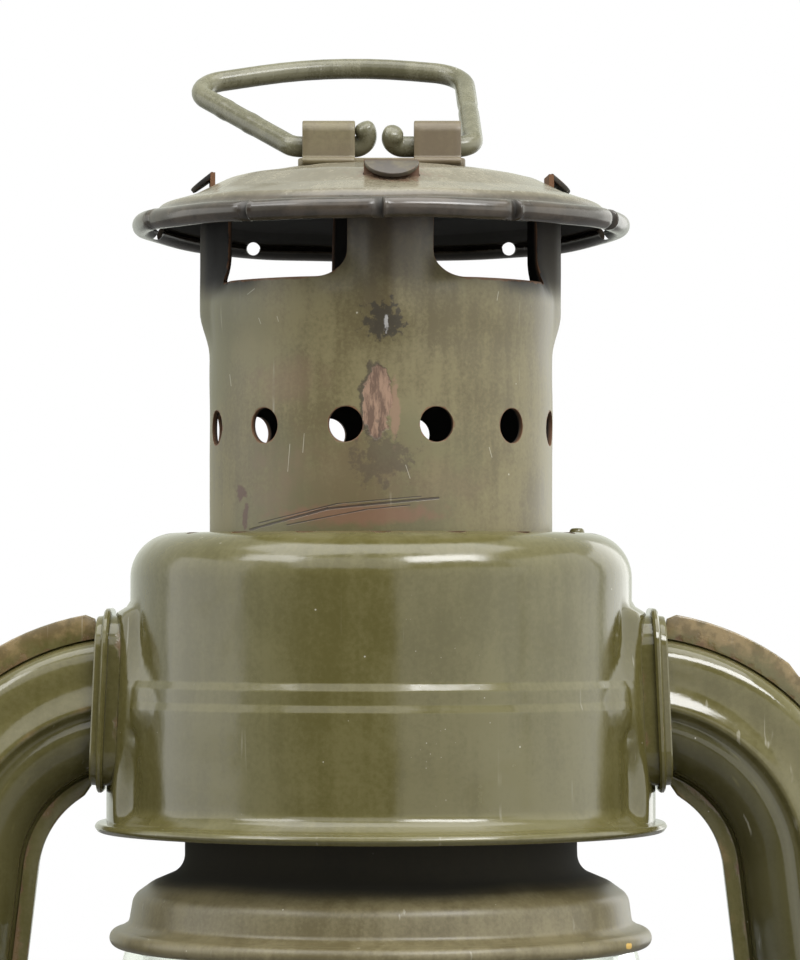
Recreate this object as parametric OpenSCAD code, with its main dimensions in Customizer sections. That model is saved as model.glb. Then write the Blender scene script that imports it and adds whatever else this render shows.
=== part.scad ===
// Hurricane lantern of the cold-blast kind: pressed side tubes feed air to the burner,
// a sprung hood holds the globe down, and a pull ring lifts the hood.
// Lengths in millimetres, table at z = 0, tubes along X, front towards -Y.

/* [Sheet and fits] */
// Thickness of the pressed sheet
sheet = 0.7; // [0.55:0.05:0.85]
// Gap between bodies that slide past each other
slide_gap = 0.3; // [0.25:0.05:0.4]
// Radial clearance of a wire or shaft in its bearing
pivot_gap = 0.06; // [0.03:0.01:0.1]

/* [Tank] */
// Outer radius of the tank wall
tank_r = 56; // [54:1:62]
// Height of the tank top
tank_h = 32; // [26:1:38]
// Radius of the tank shoulder
tank_shoulder_r = 8; // [5:0.5:9]
// Height of the folded foot seam
foot_seam_h = 4; // [3:0.5:6]
// Height of the ring pressed into the tank floor
floor_bead_h = 2; // [1:0.25:3]
// Distance of the filler from the axis
filler_reach = 38; // [37:0.5:40]
// Bore radius of the filler neck
filler_bore_r = 6.3; // [5:0.1:6.6]
// Height of the filler neck over the tank
filler_neck_h = 6.5; // [5:0.5:9]

/* [Burner] */
// Outer radius of the air box under the globe
air_box_r = 27; // [26:0.5:28]
// Radius of the burner cup
burner_r = 15; // [14:0.5:16]
// Height of the burner cup
burner_h = 14.7; // [14:0.1:17]
// Width of the wick
wick_w = 12; // [10:0.5:14]
// Thickness of the wick
wick_t = 2; // [1.6:0.1:2.6]
// Radius of the spur wheels that drive the wick
spur_r = 3.6; // [3:0.1:4]
// Radius of the wick shaft
shaft_r = 1; // [0.8:0.05:1.3]
// Radius of the wick knob
knob_r = 7.5; // [6:0.25:7.5]

/* [Globe] */
// Height of the glass globe
globe_h = 87; // [82:1:95]
// Largest radius of the globe
globe_r = 40; // [38:0.25:40.5]
// Radius on which the globe ends close in
globe_end_r = 29.5; // [28:0.25:29.5]
// Thickness of the glass
glass_t = 1.8; // [1.4:0.1:2.2]
// Wire radius of the globe guard
guard_wire_r = 1.1; // [0.9:0.05:1.3]

/* [Air chamber] */
// Outer radius of the air chamber
drum_r = 35.75; // [35.5:0.25:37]
// Height of the air chamber over its lip
drum_h = 42.5; // [40:0.5:48]
// Radius of the rounded top edge
drum_edge_r = 5.4; // [4:0.2:5.6]
// Radius of the flared lip
lip_r = 40.7; // [40.2:0.1:41.2]
// Number of small air holes in the chamber top
vent_count = 18; // [12:2:18]

/* [Side tubes] */
// Middle radius of the upper bend
top_bend_r = 25.2; // [24:0.2:27]
// Middle radius of the lower bend
low_bend_r = 24; // [23:0.5:26]
// Outward slant of the tube under the upper bend in degrees
splay = 6.8; // [5:0.2:8]
// Half height of the tube over its folded seams
seam_n = 12; // [11.7:0.1:12.5]
// Radius of the two pressed lobes
lobe_r = 4.3; // [4:0.05:4.4]

/* [Hood] */
// Outer radius of the chimney
chimney_r = 24.45; // [23.8:0.05:24.6]
// Height of the chimney wall over the air chamber
chimney_h = 34; // [30:0.5:40]
// Height of the open windows under the canopy
window_h = 14; // [11:0.5:18]
// Width of a chimney leg
leg_w = 13; // [11:0.5:14]
// Radius of the round holes in the chimney
hole_r = 2.45; // [1.8:0.05:2.8]
// Outer radius of the canopy over its rolled rim
canopy_r = 35.5; // [34.5:0.1:37]
// Section radius of the rolled rim
rim_roll_r = 1.45; // [1.25:0.05:1.6]
// Wire radius of the hood spring
spring_wire_r = 0.6; // [0.5:0.05:0.7]
// Number of turns of the hood spring
spring_turns = 4; // [3:1:5]

/* [Pull ring and bail] */
// Wire radius of the pull ring
ring_wire_r = 1.55; // [1.3:0.05:1.7]
// Length of the pull ring from its hinge
ring_reach = 29; // [26:0.5:32]
// Lean of the pull ring over the horizontal in degrees
ring_lean = 30; // [20:1:45]
// Wire radius of the carrying bail
bail_wire_r = 1.5; // [1.2:0.05:1.8]
// Reach of the bail from its pivots
bail_reach = 142; // [140:1:146]

/* [Globe lever] */
// Wire radius of the lever
lever_wire_r = 1.2; // [1:0.05:1.3]
// Length of the lever arm under the globe seat
lever_arm = 7.6; // [7:0.1:8]

/* [Hidden] */
$fn = 48;

tube_half = seam_n + sheet;
low_tube_z = tank_h + tube_half + slide_gap;
box_top = low_tube_z + tube_half + slide_gap;
seat_z = box_top + slide_gap / 3;
seat_rim_h = 2.4;
globe_z = seat_z + sheet;
globe_top = globe_z + globe_h;
globe_mid = (globe_z + globe_top) / 2;
globe_phi = 80;
globe_half = globe_h / 2 / sin(globe_phi);
globe_edge_r = globe_end_r + (globe_r - globe_end_r) * pow(cos(globe_phi), 0.85);
seat_r = globe_edge_r + 3.3;

cap_shoulder_z = globe_top + slide_gap + sheet + 0.4;
cap_neck_r = 28;
cap_wall_r = drum_r - 0.15;
cap_roll_r = 1.4;
cap_rim_r = cap_wall_r + 2.8;
cap_rim_z = cap_shoulder_z - 7.2;
lip_z = cap_shoulder_z + 6.6;
drum_top = lip_z + drum_h;
flare_z = lip_z + 5;
flare_r = 4.2;
drum_hole_r = chimney_r + slide_gap;
guide_h = 4;
tube_z = lip_z + 18.7;
band_z = tube_z + 0.7;
band_half = 1.7;
band_out = 0.55;
neck_top = tube_z - 2;
neck_x = drum_r + 2.65;
collar_t = 2;
collar_half_z = tube_half + 0.3;
collar_half_y = 10.5;

bend_x = drum_r - 0.15;
bow_r = 120;
bow_in = 10;
bend_z = tube_z - top_bend_r;
run_drop = tube_z - low_tube_z - top_bend_r * (1 - sin(splay)) - low_bend_r * (1 - sin(bow_in))
    - bow_r * (sin(splay) + sin(bow_in));
run_len = run_drop / cos(splay);
run_start = [bend_x + top_bend_r * cos(splay), bend_z + top_bend_r * sin(splay)];
run_end = run_start + run_len * [sin(splay), -cos(splay)];
bow_c = run_end - bow_r * [cos(splay), sin(splay)];
bow_end = bow_c + bow_r * [cos(bow_in), -sin(bow_in)];
low_c = bow_end - low_bend_r * [cos(bow_in), -sin(bow_in)];
inlet_len = low_c[0] - air_box_r + 4;

up_lobe = [4.5, 3.2];
low_lobe = [-5.1, 3.2];
ridge_r = 1.3;
ridge = [0.9, 6.5];
lobe_top = up_lobe[0] + lobe_r;
lobe_low = low_lobe[0] - lobe_r;

window_z = drum_top + chimney_h;
canopy_z = window_z + window_h + sheet;
hole_z = drum_top + chimney_h * 0.435;
hood_turn = 2;
ridge_out = 1.55;
ridge_foot = window_z - 14;
ridge_full = window_z - 3;
tab_w = 7.6;
canopy_fall = 0.2;
plateau_r = 13.5;
plateau_z = canopy_z + 3.2;
roll_c = [canopy_r - rim_roll_r, canopy_z - 4.9];
crimp_count = 10;
crimp_r = 0.95;

knuckle_r = ring_wire_r + pivot_gap + 1.1;
bracket_t = 0.8;
hinge_z = plateau_z + knuckle_r + 0.6;

bead_in_r = tank_r * 0.36;
bead_out_r = tank_r * 0.75;
burner_hole_r = 11;
gallery_z = tank_h + burner_h;
gallery_r = burner_r + 4;
cone_r = gallery_r - 0.7;
cone_top = gallery_z + 19.5;
shaft_z = tank_h + 9;
wick_gap = 0.2;
tube_wall = 0.5;
shaft_x = -(wick_t / 2 + slide_gap + spur_r);
knob_y = tank_r - 10;
knob_t = 5;
filler_r = filler_bore_r + 1.2;
filler_c = filler_reach * [-sin(45), -sin(45)];
gasket_t = 1.2;
gasket_z = tank_h + filler_neck_h + slide_gap / 3;
cap_bore_r = filler_r + 0.7;
cap_r = cap_bore_r + 1.5;

spring_r = (drum_hole_r + sheet + cap_neck_r) / 2 + 0.35;
spring_low = neck_top + spring_wire_r + 0.1;
spring_high = drum_top - sheet - spring_wire_r - 0.1;
spring_steps = 16;

bail_z = bend_z - 6;
bail_in_x = run_start[0] + (run_start[1] - bail_z) * tan(splay) + tube_half / cos(splay);
ear_x = bail_in_x + 3.5;
ear_t = 1.6;
ear_half = 4.5;
pin_head_r = bail_wire_r + 0.8;
pin_head_t = 1;
pin_out = 2.6;
bail_x = ear_x + ear_t + bail_wire_r + 2;
bail_tilt = asin((tank_r + bail_wire_r + slide_gap) / bail_reach);

lever_x = low_c[0] + 4.95;
lever_z = low_c[1] - 6.3;
lever_y = 5;
lug_y = 9;
lug_t = 3;
lever_front = 18;
lever_tip = lever_x - lever_arm;
lever_end = lever_x + 20;
ear_z = lever_z + lever_wire_r + slide_gap;

guard_r = globe_r + guard_wire_r + 2;
guard_z = globe_mid;

function arc(c, r, a, b, n) = [for (i = [0:n]) c + r * [cos(a + (b - a) * i / n), sin(a + (b - a) * i / n)]];
function flip(p) = [for (i = [len(p) - 1:-1:0]) p[i]];
function unit(v) = v / norm(v);
function right_of(a, b) = [unit(b - a)[1], -unit(b - a)[0]];
function inset(p, t) = [for (i = [0:len(p) - 1])
    let (k = max(i, 1), m = min(i, len(p) - 2), u = right_of(p[k - 1], p[k]), v = right_of(p[m], p[m + 1]))
    p[i] + t * (u + v) / (1 + u * v)];
function wall(p, t) = concat(p, flip(inset(p, t)));
function mirror_b(p) = [for (q = p) [q[0], -q[1]]];

// Sheet spun to an outline, its thickness on the right of the path
module spun(path, t) {
    rotate_extrude() polygon(wall(path, t));
}

// Ring between two radii
module ring(r_in, r_out, z, h) {
    translate([0, 0, z]) difference() {
        cylinder(r = r_out, h = h);
        translate([0, 0, -1]) cylinder(r = r_in, h = h + 2);
    }
}

// Wire bent in the XY plane through corner points with their bend radii; a straight stretch laps into
// the bends beside it, which are a hair thicker
module wire(p, radii, r) {
    lap = 0.2;
    hair = 0.03;
    last = len(p) - 1;
    cut = [for (i = [0:last]) (i == 0 || i == last) ? 0 :
        radii[i] * tan(acos(unit(p[i] - p[i - 1]) * unit(p[i + 1] - p[i])) / 2)];
    for (i = [0:last - 1]) {
        d = unit(p[i + 1] - p[i]);
        a = p[i] + d * (cut[i] - (i > 0 ? lap : 0));
        b = p[i + 1] - d * (cut[i + 1] - (i < last - 1 ? lap : 0));
        translate([a[0], a[1], 0]) rotate([0, 0, atan2(d[1], d[0])]) rotate([0, 90, 0])
            cylinder(r = r, h = norm(b - a));
    }
    for (i = [1:last - 1]) {
        d = unit(p[i] - p[i - 1]);
        e = unit(p[i + 1] - p[i]);
        side = sign(d[0] * e[1] - d[1] * e[0]);
        bend = acos(d * e);
        c = p[i] - d * cut[i] + side * radii[i] * [-d[1], d[0]];
        start = atan2(-side * d[0], side * d[1]);
        translate([c[0], c[1], 0]) rotate([0, 0, side > 0 ? start : start - bend])
            rotate_extrude(angle = bend) translate([radii[i], 0]) circle(r = r + hair);
    }
}

// Outside of a pressed half: foot, upper lobe, ridge, groove, lower lobe, foot
function lobes() = concat(
    [[lobe_top + 0.15, sheet]],
    arc(up_lobe, lobe_r, 0, 118, 3),
    arc(ridge, ridge_r, 40, 180, 2),
    [[ridge[0] - ridge_r - 0.15, 5.7], [-1.5, 5.9]],
    arc(low_lobe, lobe_r, 48, 180, 3),
    [[lobe_low - 0.15, sheet]]);

// Outside of the front half with its flanges to a seam width above and below
function front_path(up, low) = concat([[up, sheet]], lobes(), [[-low, sheet]]);

// Outside of the back half, folded round the front flange at both seams
function back_path(up, low) = concat(
    [[lobe_top + 0.3, 2 * sheet], [up + sheet, 2 * sheet], [up + sheet, -sheet]],
    mirror_b(lobes()),
    [[-low - sheet, -sheet], [-low - sheet, 2 * sheet], [lobe_low - 0.3, 2 * sheet]]);

// Places along the tube as [x, z, angle, upper seam, lower seam]: the seams stop short of collar and air box
function turn(c, r, a, up, low) = [c[0] + r * cos(a), c[1] + r * sin(a), a, up, low];
collar_out = neck_x + collar_t + 0.3 - bend_x;
collar_angle = acos(collar_out / top_bend_r);
seam_angle = collar_angle - 2.5;
low_seam_angle = acos(collar_out / (top_bend_r - tube_half)) - 1.5;
bend_c = [bend_x, bend_z];
tube_places = concat(
    [turn(bend_c, top_bend_r, 90, 0, 0), turn(bend_c, top_bend_r, collar_angle, 0, 0)],
    [for (a = [seam_angle, low_seam_angle + 1.5]) turn(bend_c, top_bend_r, a, 1, 0)],
    [for (i = [0:5]) turn(bend_c, top_bend_r, low_seam_angle + (splay - low_seam_angle) * i / 5, 1, 1)],
    [for (i = [0:3]) turn(bow_c, bow_r, splay - (splay + bow_in) * i / 3, 1, 1)],
    [for (i = [1:6]) turn(low_c, low_bend_r, -bow_in - (90 - bow_in) * i / 6, 1, 1)],
    [[air_box_r + 1.5, low_tube_z, -90, 1, 1], [air_box_r + 0.3, low_tube_z, -90, 0, 0],
     [air_box_r - 4, low_tube_z, -90, 0, 0]]);

// Half of a side tube as one pressed skin; hand is 1 for the right tube and -1 for the left
module pressed_half(front, hand) {
    sections = [for (q = tube_places)
        let (up = q[3] > 0 ? seam_n : lobe_top + 0.4, low = q[4] > 0 ? seam_n : 0.4 - lobe_low)
        front ? wall(front_path(up, low), -sheet) : wall(back_path(up, low), sheet)];
    m = len(sections[0]);
    last = len(tube_places) - 1;
    pts = [for (i = [0:last]) for (q = sections[i])
        let (t = tube_places[i])
        [hand * (t[0] + q[0] * cos(t[2])), -q[1], t[1] + q[0] * sin(t[2])]];
    skin = [for (i = [0:last - 1]) for (k = [0:m - 1])
        let (n = (k + 1) % m)
        each [[i * m + k, (i + 1) * m + k, (i + 1) * m + n], [i * m + k, (i + 1) * m + n, i * m + n]]];
    strip = [for (k = [0:m / 2 - 2])
        each [[k, k + 1, m - 2 - k], [k, m - 2 - k, m - 1 - k]]];
    shell = concat(skin, strip, [for (f = strip) [for (v = flip(f)) last * m + v]]);
    outward = front ? hand : -hand;
    polyhedron(points = pts, faces = outward > 0 ? shell : [for (f = shell) flip(f)]);
}

// Room for a tube end: its outline with a little air, and the narrow stretch of its seams
module core_section() {
    air = 0.15;
    grown = inset(lobes(), air);
    polygon(concat(grown, flip(mirror_b(grown))));
    translate([lobe_low - 0.6 - sheet, -2 * sheet - air])
        square([lobe_top - lobe_low + 1.2 + 2 * sheet, 4 * sheet + 2 * air]);
}

module upper_core() {
    translate([bend_x, 0, bend_z]) rotate([90, 0, 0]) rotate([0, 0, 60])
        rotate_extrude(angle = 30) translate([top_bend_r, 0]) core_section();
}

module inlet_core() {
    translate([low_c[0], 0, low_tube_z]) rotate([0, -90, 0]) rotate([0, 0, 180])
        linear_extrude(inlet_len) core_section();
}

module tube_right_front() color("darkolivegreen") pressed_half(true, 1);
module tube_right_back() color("darkolivegreen") pressed_half(false, 1);
module tube_left_front() color("darkolivegreen") pressed_half(true, -1);
module tube_left_back() color("darkolivegreen") pressed_half(false, -1);

module collar() {
    corner = 6;
    difference() {
        translate([neck_x, 0, tube_z]) rotate([90, 0, 90]) linear_extrude(collar_t)
            polygon(concat(
                arc([collar_half_y - corner, collar_half_z - corner], corner, 0, 90, 5),
                arc([corner - collar_half_y, collar_half_z - corner], corner, 90, 180, 5),
                arc([corner - collar_half_y, corner - collar_half_z], corner, 180, 270, 5),
                arc([collar_half_y - corner, corner - collar_half_z], corner, 270, 360, 5)));
        upper_core();
    }
}

module collar_right() color("olive") collar();
module collar_left() color("olive") rotate([0, 0, 180]) collar();

// Neck drawn out of the chamber wall towards a tube, inset by t
module drum_neck(t) {
    hull() {
        for (sy = [-1, 1], sz = [-1, 1]) {
            translate([neck_x - 0.05, sy * (collar_half_y - 6.5), tube_z + sz * (collar_half_z - 6.6)])
                rotate([0, 90, 0]) cylinder(r = 6 - t, h = 0.05 + t / 10, $fn = 32);
            translate([drum_r - 3.3 - t, sy * 7, tube_z + sz * 6.4])
                rotate([0, 90, 0]) cylinder(r = 8 - t, h = 0.05, $fn = 32);
        }
    }
}

module air_chamber() color("darkolivegreen") {
    difference() {
        union() {
            spun(concat(
                [[drum_hole_r, drum_top - guide_h], [drum_hole_r, drum_top]],
                arc([drum_r - drum_edge_r, drum_top - drum_edge_r], drum_edge_r, 90, 0, 6),
                [[drum_r, band_z + band_half + 0.5], [drum_r + band_out, band_z + band_half],
                 [drum_r + band_out, band_z - band_half], [drum_r, band_z - band_half - 0.5]],
                arc([drum_r + flare_r, flare_z], flare_r, 180, 255, 5),
                [[lip_r - 0.5, lip_z + 0.7], [lip_r, lip_z + 0.3], [lip_r, lip_z - 0.7]]), sheet);
            difference() {
                union() {
                    drum_neck(0);
                    mirror([1, 0, 0]) drum_neck(0);
                }
                translate([0, 0, lip_z]) cylinder(r = drum_r - sheet, h = drum_h);
            }
            translate([cap_neck_r, 0, drum_top - 0.2]) cylinder(r = 1.1, h = 0.9);
        }
        drum_neck(sheet);
        mirror([1, 0, 0]) drum_neck(sheet);
        for (i = [0:vent_count - 1])
            rotate([0, 0, (i + 0.5) * 360 / vent_count]) translate([cap_neck_r + 1.6, 0, drum_top - 2])
                cylinder(r = 1.5, h = 4);
    }
}

module tank_bottom() color("darkolivegreen") {
    spun(concat(
        [[0, 0], [bead_in_r, 0], [bead_in_r + 4, floor_bead_h], [bead_out_r - 4, floor_bead_h], [bead_out_r, 0]],
        arc([tank_r + sheet - 1.5, 1.5], 1.5, -90, 0, 4),
        [[tank_r + sheet, foot_seam_h]]), -sheet);
}

module tank_shell() color("darkolivegreen") {
    s = tank_shoulder_r;
    difference() {
        spun(concat([[burner_hole_r, tank_h]], arc([tank_r - s, tank_h - s], s, 90, 0, 6),
            [[tank_r, sheet + 1.1]]), sheet);
        translate([filler_c[0], filler_c[1], tank_h - 3]) cylinder(r = filler_r, h = 6);
    }
}

module filler_neck() color("darkkhaki") {
    translate([filler_c[0], filler_c[1], 0]) {
        ring(filler_bore_r, filler_r, tank_h - 2, filler_neck_h + 2);
        ring(filler_r - 0.4, filler_r + 1, tank_h, 1);
    }
}

module filler_gasket() color("black") {
    translate([filler_c[0], filler_c[1], 0]) ring(filler_bore_r - 0.5, filler_r + 0.2, gasket_z, gasket_t);
}

module filler_cap() color("olive") {
    skirt_z = tank_h + 1 + slide_gap;
    top = gasket_z + gasket_t;
    translate([filler_c[0], filler_c[1], 0]) difference() {
        union() {
            translate([0, 0, skirt_z]) cylinder(r = cap_r, h = top - skirt_z + sheet);
            translate([0, 0, top + sheet - 0.1]) cylinder(r = cap_r - 3, h = 1.3);
        }
        translate([0, 0, skirt_z - 1]) cylinder(r = cap_bore_r, h = top - skirt_z + 1);
        for (i = [0:15])
            rotate([0, 0, i * 22.5]) translate([cap_r + 0.6, 0, skirt_z - 1]) cylinder(r = 1.2, h = 20);
    }
}

module air_box() color("darkolivegreen") {
    difference() {
        spun(concat([[air_box_r - 5, box_top]], arc([air_box_r - 1.5, box_top - 1.5], 1.5, 90, 0, 3),
            [[air_box_r, tank_h]]), sheet);
        inlet_core();
        rotate([0, 0, 180]) inlet_core();
        translate([shaft_x, -air_box_r / 2, shaft_z]) rotate([90, 0, 0])
            cylinder(r = shaft_r + pivot_gap, h = air_box_r);
    }
}

module burner_base() color("goldenrod") {
    half_x = wick_t / 2 + wick_gap + tube_wall;
    half_y = wick_w / 2 + wick_gap + tube_wall;
    difference() {
        union() {
            ring(burner_r - sheet, burner_r, tank_h, burner_h);
            translate([0, 0, tank_h]) cylinder(r = burner_r - sheet / 2, h = sheet);
            ring(burner_r - sheet, gallery_r, gallery_z - sheet, sheet);
        }
        translate([-half_x, -half_y, tank_h - 1]) cube([2 * half_x, 2 * half_y, 4]);
        translate([shaft_x, burner_r + 2, shaft_z]) rotate([90, 0, 0])
            cylinder(r = shaft_r + pivot_gap, h = 2 * burner_r + 4);
        for (i = [0:11])
            rotate([0, 0, i * 30]) translate([burner_r - 3, 0, tank_h + 4]) rotate([0, 90, 0])
                cylinder(r = 1.4, h = 5);
    }
}

module burner_cone() color("goldenrod") {
    dome_r = cone_top - gallery_z - 7;
    difference() {
        spun(concat([[0, cone_top]], arc([cone_r - dome_r, cone_top - dome_r], dome_r, 90, 0, 6),
            [[cone_r, gallery_z]]), 0.5);
        translate([-2.6, -wick_w / 2 - 1.5, cone_top - 3]) cube([5.2, wick_w + 3, 6]);
    }
}

module wick_tube() color("goldenrod") {
    in_x = wick_t / 2 + wick_gap;
    in_y = wick_w / 2 + wick_gap;
    difference() {
        translate([-in_x - tube_wall, -in_y - tube_wall, tank_h - 8])
            cube([2 * (in_x + tube_wall), 2 * (in_y + tube_wall), cone_top - tank_h + 5]);
        translate([-in_x, -in_y, tank_h - 10]) cube([2 * in_x, 2 * in_y, cone_top]);
        translate([-in_x - 2, -in_y + 0.6, shaft_z - spur_r - 0.5])
            cube([in_x + 1, 2 * in_y - 1.2, 2 * spur_r + 1]);
    }
}

module wick() color("ivory") {
    translate([-wick_t / 2, -wick_w / 2, 8]) cube([wick_t, wick_w, cone_top - 9.5]);
}

module wick_shaft() color("goldenrod") {
    translate([shaft_x, 0, shaft_z]) rotate([90, 0, 0]) {
        translate([0, 0, -burner_r - 1]) cylinder(r = shaft_r, h = knob_y + burner_r + 1);
        for (y = [-wick_w / 4, wick_w / 4])
            translate([0, 0, y - 0.6]) linear_extrude(1.2) difference() {
                circle(r = spur_r);
                for (i = [0:9])
                    rotate([0, 0, i * 36]) translate([spur_r + 0.3, 0]) circle(r = 0.8);
            }
    }
}

module wick_knob() color("goldenrod") {
    translate([shaft_x, -knob_y, shaft_z]) rotate([90, 0, 0]) difference() {
        union() {
            cylinder(r = knob_r, h = 1.4);
            translate([0, 0, 1.3]) cylinder(r = shaft_r + 2, h = knob_t - 1.3);
        }
        for (i = [0:17])
            rotate([0, 0, i * 20]) translate([knob_r + 0.5, 0, -1]) cylinder(r = 0.9, h = 4);
    }
}

module globe_seat() color("darkolivegreen") {
    difference() {
        union() {
            spun(concat([[gallery_r + 1.2, seat_z]], arc([seat_r - 1.2, seat_z + 1.2], 1.2, -90, 0, 3),
                [[seat_r, seat_z + seat_rim_h]]), -sheet);
            translate([seat_r - 2.2, -lever_y - 3, seat_z]) cube([4.4, 6, sheet]);
            translate([seat_r + 1.4, -lever_y - 3, seat_z]) cube([0.8, 6, ear_z - seat_z + 0.8]);
            translate([seat_r + 1.4, -lever_y - 3, ear_z]) cube([lever_tip + 0.1 - seat_r, 6, 0.8]);
        }
        for (i = [0:23])
            rotate([0, 0, i * 15]) translate([(gallery_r + seat_r) / 2 - 1.6, 0, seat_z - 1])
                cylinder(r = 1.7, h = 4);
    }
}

module globe_guard() color("darkolivegreen") {
    foot_z = seat_z + seat_rim_h / 2 + 0.1;
    translate([0, 0, guard_z]) rotate_extrude() translate([guard_r, 0]) circle(r = guard_wire_r);
    for (k = [0:3])
        rotate([0, 0, 45 + 90 * k]) rotate([90, 0, 0])
            wire([[seat_r, foot_z], [guard_r, foot_z], [guard_r, guard_z]], [0, 5, 0], guard_wire_r * 0.85);
}

function globe_skin() = [for (i = [0:16])
    let (phi = globe_phi - i * globe_phi / 8)
    [globe_end_r + (globe_r - globe_end_r) * pow(cos(phi), 0.85), globe_mid + globe_half * sin(phi)]];

module globe() color([0.85, 0.9, 0.9, 0.4]) spun(globe_skin(), glass_t);

module globe_cap() color("dimgray") {
    z = cap_shoulder_z;
    spun(concat(
        [[chimney_r, neck_top], [cap_neck_r, neck_top], [cap_neck_r, z + 3.2]],
        arc([cap_neck_r + 3, z + 3], 3, 190, 235, 3),
        [[globe_edge_r - 0.9, z], [globe_edge_r + 0.9, z - 0.7], [cap_wall_r - 1.1, z - 1.9],
         [cap_wall_r, z - 3.8], [cap_wall_r + 0.8, z - 5.6]],
        arc([cap_rim_r - cap_roll_r, cap_rim_z], cap_roll_r, 95, -130, 8)), sheet);
}

// Crease of a leg: a wedge on the wall that fades out towards its foot
module leg_ridge() {
    half = 5.5;
    fade = atan2(ridge_out, ridge_full - ridge_foot);
    difference() {
        translate([0, 0, ridge_foot]) linear_extrude(canopy_z - sheet - ridge_foot)
            polygon([[chimney_r - 1.2, -half], [chimney_r + ridge_out, 0], [chimney_r - 1.2, half]]);
        translate([chimney_r - 0.1, -10, ridge_foot]) rotate([0, fade, 0]) cube([10, 20, 60]);
    }
}

module chimney() color("darkolivegreen") {
    chord = 2 * chimney_r * sin(45 - asin(leg_w / 2 / chimney_r));
    fillet = 3;
    rotate([0, 0, hood_turn]) {
        difference() {
            union() {
                translate([0, 0, neck_top - 5]) cylinder(r = chimney_r, h = canopy_z - neck_top + 5);
                for (k = [0:3]) rotate([0, 0, 90 * k]) leg_ridge();
            }
            translate([0, 0, neck_top - 6]) cylinder(r = chimney_r - sheet, h = canopy_z - neck_top + 7);
            for (k = [0:3])
                rotate([0, 0, 45 + 90 * k]) rotate([90, 0, 90]) translate([0, 0, 10]) linear_extrude(30)
                    polygon(concat([[chord / 2, canopy_z + 1], [-chord / 2, canopy_z + 1]],
                        arc([fillet - chord / 2, window_z + fillet], fillet, 180, 270, 4),
                        arc([chord / 2 - fillet, window_z + fillet], fillet, 270, 360, 4)));
            for (i = [0:11])
                rotate([0, 0, 15 + 30 * i]) translate([chimney_r - 5, 0, hole_z]) rotate([0, 90, 0])
                    cylinder(r = hole_r, h = 8);
        }
        for (k = [0:3]) rotate([0, 0, 90 * k]) leg_tab();
    }
}

// Tab of a leg, through its slot in the canopy and bent outwards as a half moon
module leg_tab() {
    lap = 0.2;
    rise = 1.95;
    droop = 24;
    translate([chimney_r - sheet, -tab_w / 2, canopy_z - lap]) cube([sheet, tab_w, rise + lap]);
    translate([chimney_r - sheet, 0, canopy_z + rise]) rotate([0, droop, 0]) linear_extrude(sheet)
        intersection() {
            circle(r = tab_w / 2);
            translate([0, -tab_w]) square([tab_w, 2 * tab_w]);
        }
}

// Outside of the canopy from its middle to the rolled rim
function canopy_skin() = concat(
    [[0, plateau_z], [plateau_r, plateau_z], [plateau_r + 2.5, plateau_z - 0.5],
     [chimney_r + 2.8, canopy_z + canopy_fall], [30.8, canopy_z - 1.8]],
    arc(roll_c, rim_roll_r, 105, -150, 9));

module canopy() color("darkolivegreen") {
    rotate([0, 0, hood_turn]) difference() {
        spun(canopy_skin(), sheet);
        for (k = [0:3])
            rotate([0, 0, 90 * k]) translate([chimney_r - sheet - 0.1, -tab_w / 2 - 0.1, canopy_z - 3])
                cube([sheet + 0.2, tab_w + 0.2, 8]);
        for (i = [0:crimp_count - 1])
            rotate([0, 0, -90 - hood_turn + i * 360 / crimp_count])
                translate([roll_c[0] - 4, 0, roll_c[1]]) rotate([0, 90, 0]) cylinder(r = crimp_r, h = 8);
    }
}

module ring_bracket() color("darkolivegreen") {
    knuckles = [[-11.2, 7.5], [4.7, 6.7]];
    difference() {
        union() {
            translate([-11.8, -4.2, plateau_z]) cube([23.8, 8.4, bracket_t]);
            for (k = knuckles) {
                translate([k[0], 0, hinge_z]) rotate([0, 90, 0]) cylinder(r = knuckle_r, h = k[1]);
                translate([k[0], -knuckle_r + 0.01, plateau_z + 0.1])
                    cube([k[1], 2 * knuckle_r - 0.02, hinge_z - plateau_z - 0.1]);
            }
        }
        translate([-20, 0, hinge_z]) rotate([0, 90, 0]) cylinder(r = ring_wire_r + pivot_gap, h = 40);
    }
}

module lift_ring() color("olive") {
    translate([0, 0, hinge_z]) rotate([ring_lean, 0, 0])
        wire([[-1.2, 0], [-14, 0], [-29, ring_reach * 0.66], [-7, ring_reach + 1.2],
            [12.4, ring_reach - 1.5], [13.6, 0], [2, 0]], [0, 2.5, 7, 30, 7, 2.5, 0], ring_wire_r);
}

// Hood spring: one helical tube between the neck flange and the chamber top
function coil_at(i) = let (n = spring_turns * spring_steps, a = i * 360 / spring_steps)
    [spring_r * cos(a), spring_r * sin(a), spring_low + (spring_high - spring_low) * i / n];
coil_gap = min([for (i = [0:spring_turns * spring_steps - spring_steps])
    for (j = [i + spring_steps - 3:min(i + spring_steps + 3, spring_turns * spring_steps)])
        norm(coil_at(i) - coil_at(j))]) - 2 * spring_wire_r;
echo(coil_gap = coil_gap);

module hood_spring() color("silver") {
    n = spring_turns * spring_steps;
    sides = 6;
    pts = [for (i = [0:n]) for (k = [0:sides - 1])
        let (a = i * 360 / spring_steps, b = k * 360 / sides)
        coil_at(i) + spring_wire_r * [cos(b) * cos(a), cos(b) * sin(a), sin(b)]];
    skin = [for (i = [0:n - 1]) for (k = [0:sides - 1])
        let (m = (k + 1) % sides)
        [i * sides + k, i * sides + m, (i + 1) * sides + m, (i + 1) * sides + k]];
    ends = [[for (k = [sides - 1:-1:0]) k], [for (k = [0:sides - 1]) n * sides + k]];
    polyhedron(points = pts, faces = concat(skin, ends));
}

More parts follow.
